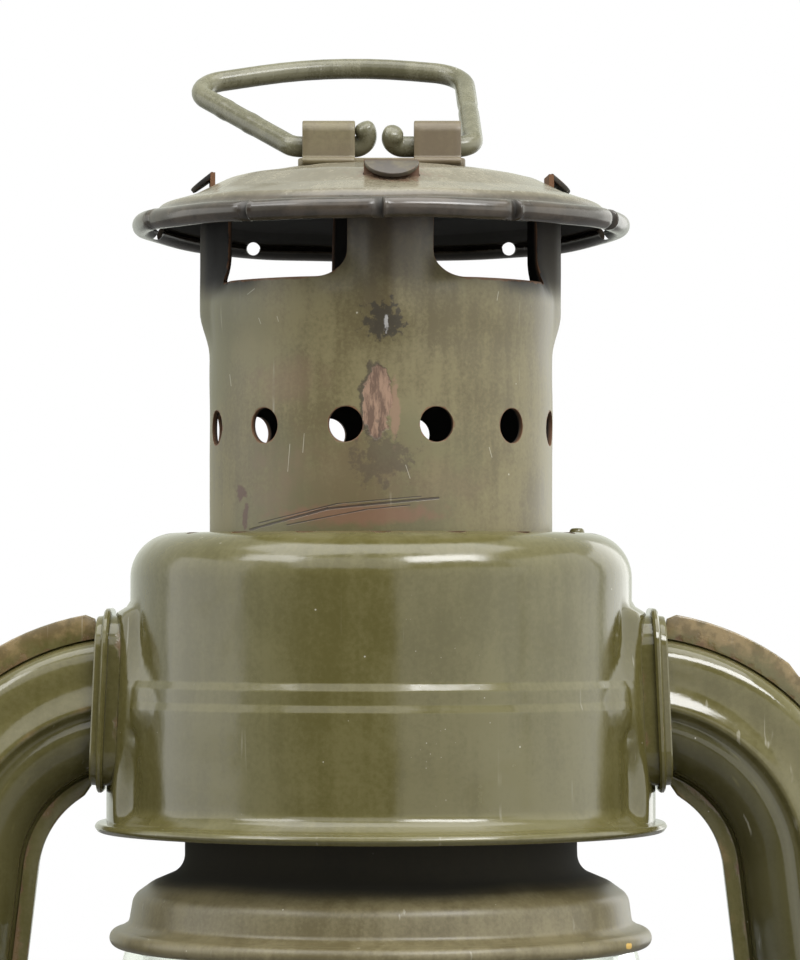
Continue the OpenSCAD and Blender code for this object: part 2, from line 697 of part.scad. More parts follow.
module bail_ear() {
    foot = 3;
    difference() {
        union() {
            translate([bail_in_x - foot, -2 * sheet - 0.8, bail_z - ear_half])
                cube([ear_x + 0.5 - bail_in_x + foot, 0.8, 2 * ear_half]);
            translate([bail_in_x - foot, sheet, bail_z - ear_half])
                cube([ear_x + 0.5 - bail_in_x + foot, 0.8, 2 * ear_half]);
            translate([ear_x, -ear_half, bail_z - ear_half]) cube([ear_t, 2 * ear_half, 2 * ear_half]);
        }
        translate([ear_x - 1, 0, bail_z]) rotate([0, 90, 0])
            cylinder(r = bail_wire_r + pivot_gap, h = ear_t + 2);
        translate([ear_x - pin_out - slide_gap, 0, bail_z]) rotate([0, 90, 0])
            cylinder(r = pin_head_r + slide_gap, h = pin_out + slide_gap);
    }
}

module bail_ear_right() color("olive") bail_ear();
module bail_ear_left() color("olive") mirror([1, 0, 0]) bail_ear();

module bail() color("olive") {
    pin = ear_x - pin_out + pin_head_t;
    translate([0, 0, bail_z]) rotate([bail_tilt - 90, 0, 0]) {
        wire([[pin, 0], [bail_x, 0], [bail_x, bail_reach], [-bail_x, bail_reach], [-bail_x, 0], [-pin, 0]],
            [0, 3, bail_x, bail_x, 3, 0], bail_wire_r);
        for (s = [0, 1])
            rotate([0, 0, 180 * s]) translate([pin - pin_head_t, 0, 0]) rotate([0, 90, 0])
                cylinder(r = pin_head_r, h = pin_head_t);
    }
}

module lever_bracket() color("olive") {
    in_r = low_bend_r - tube_half;
    web = 1.2;
    strip_y = 2 * sheet;
    difference() {
        union() {
            translate([low_c[0], 0, low_c[1]]) rotate([90, 0, 0]) {
                translate([0, 0, strip_y]) rotate([0, 0, -65])
                    rotate_extrude(angle = 45) translate([in_r, 0]) square([2.6, 0.8]);
                translate([0, 0, strip_y]) rotate([0, 0, -58])
                    rotate_extrude(angle = 24) translate([in_r, 0]) square([web, lug_y + lug_t - strip_y]);
            }
            translate([0, -lug_y, 0]) rotate([90, 0, 0]) linear_extrude(lug_t) {
                translate([lever_x, lever_z]) circle(r = lever_wire_r + 1.9);
                polygon([[lever_x + 0.5, lever_z + 2.6], [lever_x - 1.5, lever_z - 2.4],
                    low_c + (in_r + web / 2) * [cos(57), -sin(57)],
                    low_c + (in_r + web / 2) * [cos(36), -sin(36)]]);
            }
        }
        translate([lever_x, 0, lever_z]) rotate([90, 0, 0])
            cylinder(r = lever_wire_r + pivot_gap, h = lever_front);
    }
}

module lift_lever() color("olive") {
    translate([0, 0, lever_z]) {
        wire([[lever_tip, -lever_y], [lever_x, -lever_y], [lever_x, -lever_front], [lever_end, -lever_front]],
            [0, 1.8, 2.5, 0], lever_wire_r);
        translate([lever_end + 2.5, -lever_front, -0.8]) cylinder(r = 3.8, h = 1.6);
    }
}

tank_bottom();
tank_shell();
filler_neck();
filler_gasket();
filler_cap();
air_box();
tube_left_front();
tube_left_back();
tube_right_front();
tube_right_back();
collar_left();
collar_right();
air_chamber();
bail_ear_left();
bail_ear_right();
bail();
lever_bracket();
lift_lever();
burner_base();
burner_cone();
wick_tube();
wick();
wick_shaft();
wick_knob();
globe_seat();
globe_guard();
globe();
globe_cap();
chimney();
canopy();
ring_bracket();
lift_ring();
hood_spring();
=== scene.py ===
"""Worn olive hurricane lantern: its pressed, spun and bent pieces, their finishes and the studio."""
import math

import bmesh
import bpy
import numpy as np
from bpy.props import FloatProperty, FloatVectorProperty, IntProperty, PointerProperty
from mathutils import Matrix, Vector


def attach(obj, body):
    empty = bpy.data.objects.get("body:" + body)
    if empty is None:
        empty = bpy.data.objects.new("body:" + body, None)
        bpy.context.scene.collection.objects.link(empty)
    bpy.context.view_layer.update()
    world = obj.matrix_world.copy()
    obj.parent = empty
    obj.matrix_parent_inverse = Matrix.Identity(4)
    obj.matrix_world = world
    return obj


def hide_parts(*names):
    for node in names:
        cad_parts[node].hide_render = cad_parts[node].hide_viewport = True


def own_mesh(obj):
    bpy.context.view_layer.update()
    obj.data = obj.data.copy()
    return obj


bl_info = {
    "name": "Hurricane Lantern",
    "version": (1, 0, 0),
    "blender": (4, 5, 0),
    "location": "View3D > Sidebar > Lantern",
    "description": "Builds the visible pieces and finishes of a worn hurricane lantern",
    "category": "Add Mesh",
}

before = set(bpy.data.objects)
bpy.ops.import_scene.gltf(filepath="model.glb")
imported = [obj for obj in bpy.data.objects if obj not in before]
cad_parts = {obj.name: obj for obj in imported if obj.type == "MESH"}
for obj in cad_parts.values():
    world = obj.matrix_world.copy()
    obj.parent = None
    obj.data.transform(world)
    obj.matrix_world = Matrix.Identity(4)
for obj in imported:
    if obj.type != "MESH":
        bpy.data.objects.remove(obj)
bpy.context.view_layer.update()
MM = 0.001

# Heights and radii of the solids, in millimetres
SHEET = 0.7
TANK_R, TANK_H, SHOULDER_R = 56.0, 32.0, 8.0
BOX_R, BOX_TOP, LOW_TUBE_Z = 27.0, 58.0, 45.0
GALLERY_Z, CONE_TOP, CONE_R = 46.7, 66.2, 18.3
GLOBE_Z, GLOBE_TOP, GLOBE_R, GLOBE_END_R, GLASS_T = 58.8, 145.8, 40.0, 29.5, 1.8
CAP_Z, CAP_NECK_R, NECK_TOP = 147.2, 28.0, 170.5
LIP_Z, LIP_R, DRUM_R, DRUM_TOP, DRUM_EDGE = 153.8, 40.7, 35.75, 196.3, 6.3
BAND_Z, TUBE_Z, NECK_X, COLLAR_LEAN = 173.2, 172.5, 38.4, 0.045
CHIMNEY_R, HOLE_Z, HOLE_R = 24.45, 211.09, 2.45
WINDOW_Z, CANOPY_Z, CANOPY_R, PLATEAU_Z = 231.2, 245.0, 35.5, 248.2
RIM_R, RIM_Z = 1.45, 240.1
HINGE_Z, RING_WIRE_R = 251.51, 1.5
HOOD_TURN, TAB_R, TAB_DROOP = math.radians(3.4), 3.8, math.radians(37)
SPRING_LOW, SPRING_HIGH, SPRING_R, SPRING_TURNS = 171.2, 194.9, 27.075, 4


class LanternSizes(bpy.types.PropertyGroup):
    """Sizes that shape the visible pieces."""
    sheet: FloatProperty(name="Sheet", description="Thickness of the pressed sheet", default=SHEET * MM,
                         min=0.0005, max=0.0009, unit="LENGTH", precision=5)
    ring_wire: FloatProperty(name="Ring wire", description="Radius of the pull ring's wire",
                             default=RING_WIRE_R * MM, min=0.0012, max=0.0018, unit="LENGTH", precision=5)
    ring_lean: FloatProperty(name="Ring lean", description="Lean of the pull ring over the horizontal",
                             default=math.radians(28.4), subtype="ANGLE", unit="ROTATION")
    crease: FloatProperty(name="Leg crease", description="How far the crease of a chimney leg stands out",
                          default=0.0012, min=0.0005, max=0.002, unit="LENGTH", precision=5)
    dent: FloatProperty(name="Dents", description="Depth of the shallow dents in the sheet",
                        default=0.00007, min=0.0, max=0.0003, unit="LENGTH", precision=6)
    turns: IntProperty(name="Facets", description="Facets round a spun piece", default=224, min=64, max=360)


class LanternColours(bpy.types.PropertyGroup):
    """Colours of the paint, the wear and the other materials."""
    olive: FloatVectorProperty(name="Olive", description="Glossy olive enamel", subtype="COLOR", size=3,
                               default=(0.080, 0.070, 0.022), min=0.0, max=1.0)
    olive_pale: FloatVectorProperty(name="Faded olive", description="Olive enamel where it has faded",
                                    subtype="COLOR", size=3, default=(0.108, 0.096, 0.037), min=0.0, max=1.0)
    hood: FloatVectorProperty(name="Hood", description="Olive enamel dulled by heat", subtype="COLOR", size=3,
                              default=(0.094, 0.075, 0.031), min=0.0, max=1.0)
    hood_pale: FloatVectorProperty(name="Faded hood", description="Hood enamel where it has faded",
                                   subtype="COLOR", size=3, default=(0.158, 0.134, 0.062), min=0.0, max=1.0)
    brown: FloatVectorProperty(name="Worn edge", description="Brown of worn paint on an edge", subtype="COLOR",
                               size=3, default=(0.135, 0.082, 0.036), min=0.0, max=1.0)
    rust: FloatVectorProperty(name="Rust", description="Dark rust where the sheet is bare", subtype="COLOR",
                              size=3, default=(0.072, 0.030, 0.018), min=0.0, max=1.0)
    dust: FloatVectorProperty(name="Dust", description="Pale specks and hairlines", subtype="COLOR", size=3,
                              default=(0.50, 0.48, 0.40), min=0.0, max=1.0)
    brass: FloatVectorProperty(name="Brass", description="Dull brass of the burner", subtype="COLOR", size=3,
                               default=(0.60, 0.43, 0.17), min=0.0, max=1.0)


class LanternStudio(bpy.types.PropertyGroup):
    """Camera, lamps and floor."""
    distance: FloatProperty(name="Camera distance", description="From the lantern's axis", default=0.65,
                            unit="LENGTH")
    height: FloatProperty(name="Camera height", description="Over the table", default=0.1889, unit="LENGTH")
    lens: FloatProperty(name="Lens", description="Focal length", default=170.6, unit="CAMERA")
    key: FloatProperty(name="Key lamp", description="Power of the right lamp", default=6.2, unit="POWER")
    fill: FloatProperty(name="Fill lamp", description="Power of the left lamp", default=2.0, unit="POWER")
    top: FloatProperty(name="Overhead lamp", description="Power of the lamp above", default=10.0, unit="POWER")
    side: FloatProperty(name="Side lamps", description="Power of the large lamps at the sides", default=2.1,
                        unit="POWER")
    sky: FloatProperty(name="Sky", description="Strength of the soft light from all round", default=0.17)
    floor: FloatVectorProperty(name="Floor", description="Colour of the floor", subtype="COLOR", size=3,
                               default=(0.82, 0.82, 0.81), min=0.0, max=1.0)


# ---- lines and sections -------------------------------------------------------------------------

def unit(v):
    """Vector of length one along v."""
    return v / np.linalg.norm(v)


def arc(centre, radius, start, end, steps):
    """Points on an arc in a plane, its angles in degrees."""
    a = np.radians(np.linspace(start, end, steps + 1))
    return np.stack([centre[0] + radius * np.cos(a), centre[1] + radius * np.sin(a)], 1)


def rounded(points, radii, step=7.0):
    """Line through points with its corners rounded to the given radii, in a plane or in space."""
    pts = [np.array(p, float) for p in points]
    out = [pts[0]]
    for a, b, c, r in zip(pts, pts[1:], pts[2:], radii[1:-1]):
        u, v = unit(a - b), unit(c - b)
        turn = math.pi - math.acos(float(np.clip(u @ v, -1, 1)))
        if r <= 0 or turn < 1e-3:
            out.append(b)
            continue
        centre = b + unit(u + v) * r / math.cos(turn / 2)
        e = unit(b + u * r * math.tan(turn / 2) - centre)
        far = b + v * r * math.tan(turn / 2) - centre
        f = unit(far - (far @ e) * e)
        n = max(3, round(math.degrees(turn) / step))
        out += [centre + r * (math.cos(t) * e + math.sin(t) * f) for t in np.linspace(0, turn, n + 1)]
    out.append(pts[-1])
    return distinct(out)


def distinct(points):
    """The points without repeats in a row."""
    kept = [points[0]]
    for p in points[1:]:
        if np.linalg.norm(p - kept[-1]) > 1e-4:
            kept.append(p)
    return np.array(kept)


def dense(path, step=1.1):
    """The line with its long stretches divided."""
    out = [path[0]]
    for a, b in zip(path, path[1:]):
        n = max(1, math.ceil(np.linalg.norm(b - a) / step))
        out += [a + (b - a) * k / n for k in range(1, n + 1)]
    return np.array(out)


def shifted(path, t):
    """The line moved to its right by t."""
    d = np.diff(path, axis=0)
    d /= np.linalg.norm(d, axis=1)[:, None]
    n = np.stack([d[:, 1], -d[:, 0]], 1)
    a, b = np.vstack([n[:1], n]), np.vstack([n, n[-1:]])
    return path + t * (a + b) / (1 + np.sum(a * b, 1))[:, None]


def sheet_section(path, t, nose=0.8):
    """Closed section of a sheet that follows a line, its thickness t to the right and its cut edges rounded."""
    other = shifted(path, t)

    def edge(a, b, out):
        mid, half = (a + b) / 2, (a - b) / 2
        return [mid + half * math.cos(w) + out * nose * np.linalg.norm(half) * math.sin(w)
                for w in np.radians((45, 90, 135))]

    tail = edge(path[-1], other[-1], unit(path[-1] - path[-2]))
    head = edge(other[0], path[0], unit(path[0] - path[1]))
    return np.vstack([path, tail, other[::-1], head])


def flowing(points, steps=4):
    """Smooth line through points."""
    p = np.array(points, float)
    q = np.vstack([2 * p[0] - p[1], p, 2 * p[-1] - p[-2]])
    out = []
    for a, b, c, d in zip(q, q[1:], q[2:], q[3:]):
        out += [b + ((c - a) * k + (2 * a - 5 * b + 4 * c - d) * k ** 2 + (3 * b - a - 3 * c + d) * k ** 3) / 2
                for k in np.arange(steps) / steps]
    return np.array(out + [p[-1]])


def ease(lo, hi, x):
    """Smooth step from 0 at lo to 1 at hi."""
    t = np.clip((x - lo) / (hi - lo), 0, 1)
    return t * t * (3 - 2 * t)


def waves(a, z, seed):
    """Shallow uneven waves over an angle and a height, from -1 to 1."""
    return (np.sin(2 * a + 0.11 * z + seed) + np.sin(5 * a - 0.23 * z + 2.3 * seed)
            + np.sin(9 * a + 0.37 * z + 4.1 * seed) + np.sin(3 * a + 0.61 * z - seed)) / 4


# ---- meshes -------------------------------------------------------------------------------------

def new_piece(name, verts, faces):
    """Object from points in millimetres and faces, with its doubles merged and its faces turned outwards."""
    mesh = bpy.data.meshes.new(name)
    mesh.from_pydata((np.asarray(verts) * MM).tolist(), [], faces)
    bm = bmesh.new()
    bm.from_mesh(mesh)
    bmesh.ops.remove_doubles(bm, verts=bm.verts, dist=2e-6)
    bmesh.ops.dissolve_degenerate(bm, edges=bm.edges, dist=1e-7)
    bmesh.ops.recalc_face_normals(bm, faces=bm.faces)
    bm.to_mesh(mesh)
    bm.free()
    piece = bpy.data.objects.new(name, mesh)
    bpy.context.scene.collection.objects.link(piece)
    return piece


def grid_faces(rows, cols, wrap_rows):
    """Quads of a grid whose columns close, and whose rows close if wrap_rows."""
    i = np.arange(rows if wrap_rows else rows - 1)[:, None]
    j = np.arange(cols)[None, :]
    a, b = i * cols, ((i + 1) % rows) * cols
    n = (j + 1) % cols
    quads = np.stack(np.broadcast_arrays(a + j, b + j, b + n, a + n), -1)
    return quads.reshape(-1, 4).tolist()


def lathe(name, section, turns, shape=None, also=()):
    """Closed section turned about the lantern's axis, with extra angles in also; shape may move the points."""
    a = np.r_[np.arange(turns) * 2 * math.pi / turns, np.asarray(also) % (2 * math.pi)]
    a = np.unique(np.round(a, 5))[:, None]
    r, z = section[:, 0][None, :], section[:, 1][None, :]
    pts = np.stack(np.broadcast_arrays(r * np.cos(a), r * np.sin(a), z), -1).reshape(-1, 3)
    if shape is not None:
        pts = shape(pts)
    return new_piece(name, pts, grid_faces(len(a), len(section), True))


def loft(name, rings):
    """Skin over closed rings of points, with flat ends."""
    n = len(rings[0])
    faces = grid_faces(len(rings), n, False)
    faces += [list(range(n)), list(range((len(rings) - 1) * n, len(rings) * n))]
    return new_piece(name, np.vstack(rings), faces)


ODD_AXIS = (0.31, 0.17, 0.93)  # along no edge of the lantern, so that a side can be taken from it
ROUNDED_CUT = ((0.26, 0.93), (0.46, 0.76), (0.58, 0.45), (0.61, 0.15))  # reach and width of a wire's end, in radii


def wire_rings(points, radius, sides=20):
    """Round rings along a line in space, drawn in at both ends for a rounded cut."""
    tangent = np.gradient(points, axis=0)
    tangent /= np.linalg.norm(tangent, axis=1)[:, None]
    side = unit(np.cross(tangent[0], ODD_AXIS))
    w = np.arange(sides) * 2 * math.pi / sides
    rings = []
    radius = np.broadcast_to(radius, len(points))
    for p, t, q in zip(points, tangent, radius):
        side = unit(side - (side @ t) * t)
        up = np.cross(t, side)
        rings.append(p + q * (np.cos(w)[:, None] * side + np.sin(w)[:, None] * up))
    for end, t in ((0, -tangent[0]), (-1, tangent[-1])):
        centre, full = points[end], rings[end].copy()
        caps = [centre + t * radius[end] * reach + (full - centre) * width for reach, width in ROUNDED_CUT]
        rings = caps[::-1] + rings if end == 0 else rings + caps
    return rings


def joined(name, parts):
    """One object from several."""
    bm = bmesh.new()
    for part in parts:
        bm.from_mesh(part.data)
    mesh = bpy.data.meshes.new(name)
    bm.to_mesh(mesh)
    bm.free()
    for part in parts:
        drop(part)
    piece = bpy.data.objects.new(name, mesh)
    bpy.context.scene.collection.objects.link(piece)
    return piece


def drop(piece):
    """Removes an object and its mesh."""
    mesh = piece.data
    bpy.data.objects.remove(piece)
    bpy.data.meshes.remove(mesh)


def settled(piece):
    """The object with its modifiers worked into its mesh."""
    dg = bpy.context.evaluated_depsgraph_get()
    old = piece.data
    piece.data = bpy.data.meshes.new_from_object(piece.evaluated_get(dg))
    piece.modifiers.clear()
    piece.data.name = piece.name
    bpy.data.meshes.remove(old)
    return piece


def cut(piece, cutters):
    """Takes the cutters out of the object."""
    tool = joined("cutter", cutters)
    m = piece.modifiers.new("cut", "BOOLEAN")
    m.operation, m.solver, m.object = "DIFFERENCE", "EXACT", tool
    settled(piece)
    drop(tool)
    return piece


def bevelled(piece, width, angle=40.0):
    """The object with its sharp edges rounded by a width in millimetres."""
    m = piece.modifiers.new("bevel", "BEVEL")
    m.width, m.segments, m.limit_method = width * MM, 2, "ANGLE"
    m.angle_limit = math.radians(angle)
    return settled(piece)


def rod(centre, axis, radius, length, sides=28):
    """Plain round cutter from a point along an axis."""
    axis = unit(np.array(axis, float))
    side = unit(np.cross(axis, ODD_AXIS))
    up = np.cross(axis, side)
    w = np.arange(sides) * 2 * math.pi / sides
    ring = radius * (np.cos(w)[:, None] * side + np.sin(w)[:, None] * up)
    c = np.array(centre, float)
    return loft("rod", [c + ring, c + ring + axis * length])


def heading(a):
    """Unit vectors outwards and along the turn, at an angle."""
    return np.array([math.cos(a), math.sin(a), 0]), np.array([-math.sin(a), math.cos(a), 0])


def drill(a, start, z, radius, length, sides):
    """Round cutter that runs outwards at an angle and a height."""
    out, _ = heading(a)
    return rod(out * start + (0, 0, z), out, radius, length, sides)


def polar(p):
    """Angle of each point and its distance from the lantern's axis."""
    return np.arctan2(p[:, 1], p[:, 0]), np.hypot(p[:, 0], p[:, 1])


def swollen(p, out):
    """The points moved away from the lantern's axis."""
    p[:, :2] *= 1 + (out / np.maximum(polar(p)[1], 1.0))[:, None]
    return p


def mark_edges(piece):
    """Stores on each point how sharp an edge it stands on, as the attribute that wear follows."""
    bm = bmesh.new()
    bm.from_mesh(piece.data)
    bm.verts.ensure_lookup_table()
    value = np.zeros(len(bm.verts))
    for e in bm.edges:
        if len(e.link_faces) == 2:
            sharp = min(1.0, max(0.0, (e.calc_face_angle_signed(0.0) - 0.42) / 0.5))
            for v in e.verts:
                value[v.index] = max(value[v.index], sharp)
    spread = value.copy()
    for v in bm.verts:
        near = [value[e.other_vert(v).index] for e in v.link_edges]
        if near:
            spread[v.index] = max(value[v.index], 0.35 * sum(near) / len(near))
    bm.free()
    store(piece, "edge", spread)


def store(piece, name, values):
    """Stores a number on each point of the object's mesh."""
    held = piece.data.attributes.get(name) or piece.data.attributes.new(name, "FLOAT", "POINT")
    held.data.foreach_set("value", np.asarray(values, np.float32))


def points_of(piece):
    """The object's points in millimetres."""
    co = np.zeros(len(piece.data.vertices) * 3, np.float32)
    piece.data.vertices.foreach_get("co", co)
    return co.reshape(-1, 3).astype(float) / MM


def fit(piece, body, slot, finish, *nodes, sharp=38.0):
    """Gives the object its shading, its finish, its body and the nodes that it stands for."""
    piece.data.shade_smooth()
    piece.data.set_sharp_from_angle(angle=math.radians(sharp))
    if "edge" not in piece.data.attributes:
        mark_edges(piece)
    piece.data.materials.clear()
    piece.data.materials.append(FINISHES[finish]())
    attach(piece, body)
    if nodes:
        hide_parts(*nodes)
    return piece


def dress(node, finish):
    """Gives a solid of the frame its finish."""
    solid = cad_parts[node]
    solid.data.materials.clear()
    solid.data.materials.append(FINISHES[finish]())


# ---- shader groups ------------------------------------------------------------------------------

FLOAT, COLOUR, VECTOR = "NodeSocketFloat", "NodeSocketColor", "NodeSocketVector"


def place(tree, kind, inputs=(), **settings):
    """New node with its settings; an input is a value or a socket to link."""
    node = tree.nodes.new(kind)
    for key, value in settings.items():
        setattr(node, key, value)
    for key, value in dict(inputs).items():
        plug(tree, node.inputs[key], value)
    return node


def plug(tree, socket, value):
    """Links a socket to an input, or sets the input's value."""
    if isinstance(value, bpy.types.NodeSocket):
        tree.links.new(value, socket)
    elif socket.type == "RGBA" and len(value) == 3:
        socket.default_value = (*value, 1.0)
    else:
        socket.default_value = value


def calc(tree, operation, a, b=0.0, clamp=False):
    """Socket with the result of two values."""
    return place(tree, "ShaderNodeMath", {0: a, 1: b}, operation=operation, use_clamp=clamp).outputs[0]


def times(tree, a, b):
    """Socket with a product."""
    return calc(tree, "MULTIPLY", a, b)


def plus(tree, a, b):
    """Socket with a sum."""
    return calc(tree, "ADD", a, b)


def vector(tree, operation, a, b=(0, 0, 0), out=0):
    """Socket with the result of two vectors, or with its value."""
    return place(tree, "ShaderNodeVectorMath", {0: a, 1: b}, operation=operation).outputs[out]


def blend(tree, factor, a, b):
    """Socket with a colour between a and b."""
    return place(tree, "ShaderNodeMix", {0: factor, 6: a, 7: b}, data_type="RGBA").outputs[2]


def span(tree, value, low, high, start=0.0, end=1.0):
    """Socket with a value eased from start at low to end at high."""
    return place(tree, "ShaderNodeMapRange", {"Value": value, "From Min": low, "From Max": high,
                 "To Min": start, "To Max": end}, interpolation_type="SMOOTHSTEP").outputs[0]


def noise(tree, where, scale, detail=4.0, rough=0.55):
    """Socket with soft noise at a scale per metre."""
    return place(tree, "ShaderNodeTexNoise", {"Vector": where, "Scale": scale, "Detail": detail,
                 "Roughness": rough}).outputs[0]


def spot(tree):
    """Socket with the place on the object, in metres."""
    return place(tree, "ShaderNodeTexCoord").outputs["Object"]


def axes(tree):
    """Sockets with that place along x, y and z."""
    return place(tree, "ShaderNodeSeparateXYZ", {0: spot(tree)}).outputs


def attribute(tree, name):
    """Socket with a number that the mesh holds."""
    return place(tree, "ShaderNodeAttribute", attribute_name=name).outputs["Fac"]


def emboss(tree, skin, strength, distance, height):
    """Gives a shader the relief of a height."""
    bump = place(tree, "ShaderNodeBump", {"Strength": strength, "Distance": distance, "Height": height})
    plug(tree, skin.inputs["Normal"], bump.outputs[0])


def shader_group(name, inputs, outputs, build):
    """Node group made once: build(tree, inputs) returns its outputs by name."""
    tree = bpy.data.node_groups.get(name)
    if tree:
        return tree
    tree = bpy.data.node_groups.new(name, "ShaderNodeTree")
    for key, (kind, value) in inputs.items():
        tree.interface.new_socket(key, in_out="INPUT", socket_type=kind).default_value = value
    for key, kind in outputs.items():
        tree.interface.new_socket(key, in_out="OUTPUT", socket_type=kind)
    entry, leave = tree.nodes.new("NodeGroupInput"), tree.nodes.new("NodeGroupOutput")
    for key, socket in build(tree, entry.outputs).items():
        tree.links.new(socket, leave.inputs[key])
    return tree


def use(tree, group, **inputs):
    """Group placed in a material with its own values."""
    node = tree.nodes.new("ShaderNodeGroup")
    node.node_tree = group
    for key, value in inputs.items():
        plug(tree, node.inputs[key], value)
    return node


def mottle_group():
    """Uneven paint between two colours, in cloudy patches and fine vertical wipe marks."""
    def build(t, i):
        where = spot(t)
        cloud = noise(t, where, i["Scale"], 5.0, 0.6)
        tall = place(t, "ShaderNodeMapping", {"Vector": where, "Scale": (1.0, 1.0, 0.12)}).outputs[0]
        wipe = noise(t, tall, times(t, i["Scale"], 9.0), 3.0)
        grain = noise(t, where, times(t, i["Scale"], 32.0), 5.0, 0.7)
        value = plus(t, times(t, cloud, 0.5), times(t, wipe, 0.24))
        value = span(t, plus(t, value, times(t, grain, 0.26)), 0.41, 0.59)
        return {"Colour": blend(t, value, i["Dark"], i["Light"]), "Value": value}
    return shader_group("uneven paint", {"Dark": (COLOUR, (0.1, 0.1, 0.04, 1)), "Scale": (FLOAT, 45.0),
                        "Light": (COLOUR, (0.13, 0.12, 0.05, 1))}, {"Colour": COLOUR, "Value": FLOAT}, build)


def edge_group():
    """Worn edges: where the edge attribute is high, broken up by noise."""
    def build(t, i):
        where = spot(t)
        edge = attribute(t, "edge")
        ragged = noise(t, where, i["Scale"], 6.0, 0.65)
        value = plus(t, times(t, edge, i["Amount"]), ragged)
        return {"Mask": span(t, value, 0.86, 1.04)}
    return shader_group("worn edges", {"Amount": (FLOAT, 0.7), "Scale": (FLOAT, 260.0)}, {"Mask": FLOAT}, build)


def speck_group():
    """Small pale specks, a few to a cell."""
    def build(t, i):
        cell = place(t, "ShaderNodeTexVoronoi", {"Vector": spot(t), "Scale": i["Scale"], "Randomness": 1.0})
        chance = place(t, "ShaderNodeSeparateColor", {0: cell.outputs["Color"]}).outputs
        size = times(t, chance[1], 0.10)
        near = span(t, calc(t, "SUBTRACT", cell.outputs["Distance"], size), 0.0, 0.05, 1.0, 0.0)
        kept = calc(t, "LESS_THAN", chance[0], i["Share"])
        return {"Mask": times(t, near, kept)}
    return shader_group("specks", {"Scale": (FLOAT, 400.0), "Share": (FLOAT, 0.1)}, {"Mask": FLOAT}, build)


def hairline_group():
    """Fine scratches that run along a slant."""
    def build(t, i):
        turned = place(t, "ShaderNodeMapping", {"Vector": spot(t), "Rotation": i["Slant"],
                       "Scale": (1.0, 1.0, 0.045)}).outputs[0]
        line = noise(t, turned, i["Scale"], 2.0, 0.5)
        gate = noise(t, spot(t), 95.0, 2.0)
        line = times(t, span(t, line, 0.69, 0.75), span(t, gate, 0.5, 0.66))
        return {"Mask": line}
    return shader_group("hairlines", {"Scale": (FLOAT, 900.0), "Slant": (VECTOR, (0.5, 0.4, 0.0))},
                        {"Mask": FLOAT}, build)


def blot_group():
    """Ragged patch round a point on the front."""
    def build(t, i):
        where = spot(t)
        away = vector(t, "DIVIDE", vector(t, "SUBTRACT", where, i["Centre"]), i["Reach"])
        far = vector(t, "LENGTH", away, out="Value")
        rough = times(t, calc(t, "SUBTRACT", noise(t, where, i["Scale"], 6.0, 0.65), 0.5), i["Ragged"])
        return {"Mask": span(t, plus(t, far, rough), calc(t, "SUBTRACT", 1.0, i["Soft"]), 1.02, 1.0, 0.0)}
    return shader_group("patch", {"Centre": (VECTOR, (0, 0, 0)), "Reach": (VECTOR, (0.01, 0.01, 0.01)),
                        "Ragged": (FLOAT, 1.0), "Scale": (FLOAT, 300.0), "Soft": (FLOAT, 0.08)}, {"Mask": FLOAT}, build)


def stroke_group():
    """Scored line between two points, seen along Y on the front half."""
    def build(t, i):
        where = vector(t, "MULTIPLY", spot(t), (1.0, 0.0, 1.0))
        along = vector(t, "SUBTRACT", i["To"], i["From"])
        away = vector(t, "SUBTRACT", where, i["From"])
        dot = vector(t, "DOT_PRODUCT", away, along, "Value")
        square = vector(t, "DOT_PRODUCT", along, along, "Value")
        share = calc(t, "DIVIDE", dot, square, True)
        nearest = place(t, "ShaderNodeVectorMath", {0: along, "Scale": share}, operation="SCALE").outputs[0]
        gap = vector(t, "DISTANCE", away, nearest, "Value")
        ragged = times(t, noise(t, spot(t), 700.0, 5.0, 0.7), i["Width"])
        line = span(t, calc(t, "SUBTRACT", gap, ragged), 0.0, times(t, i["Width"], 0.35), 1.0, 0.0)
        front = calc(t, "LESS_THAN", axes(t)[1], 0.0)
        return {"Mask": times(t, line, front)}
    return shader_group("scored line", {"From": (VECTOR, (0, 0, 0)), "To": (VECTOR, (0.01, 0, 0)),
                        "Width": (FLOAT, 0.0005)}, {"Mask": FLOAT}, build)


# ---- finishes -----------------------------------------------------------------------------------

def colours():
    """The colours that the panel holds."""
    return bpy.context.scene.lantern_colours


def material(name):
    """New material with its node tree and its Principled shader."""
    made = bpy.data.materials.new(name)
    made.use_nodes = True
    return made, made.node_tree, made.node_tree.nodes["Principled BSDF"]


def once(name):
    """A finish that is built the first time and found afterwards."""
    def wrap(build):
        def finish():
            return bpy.data.materials.get(name) or build(name)
        FINISHES[name] = finish
        return finish
    return wrap


FINISHES = {}


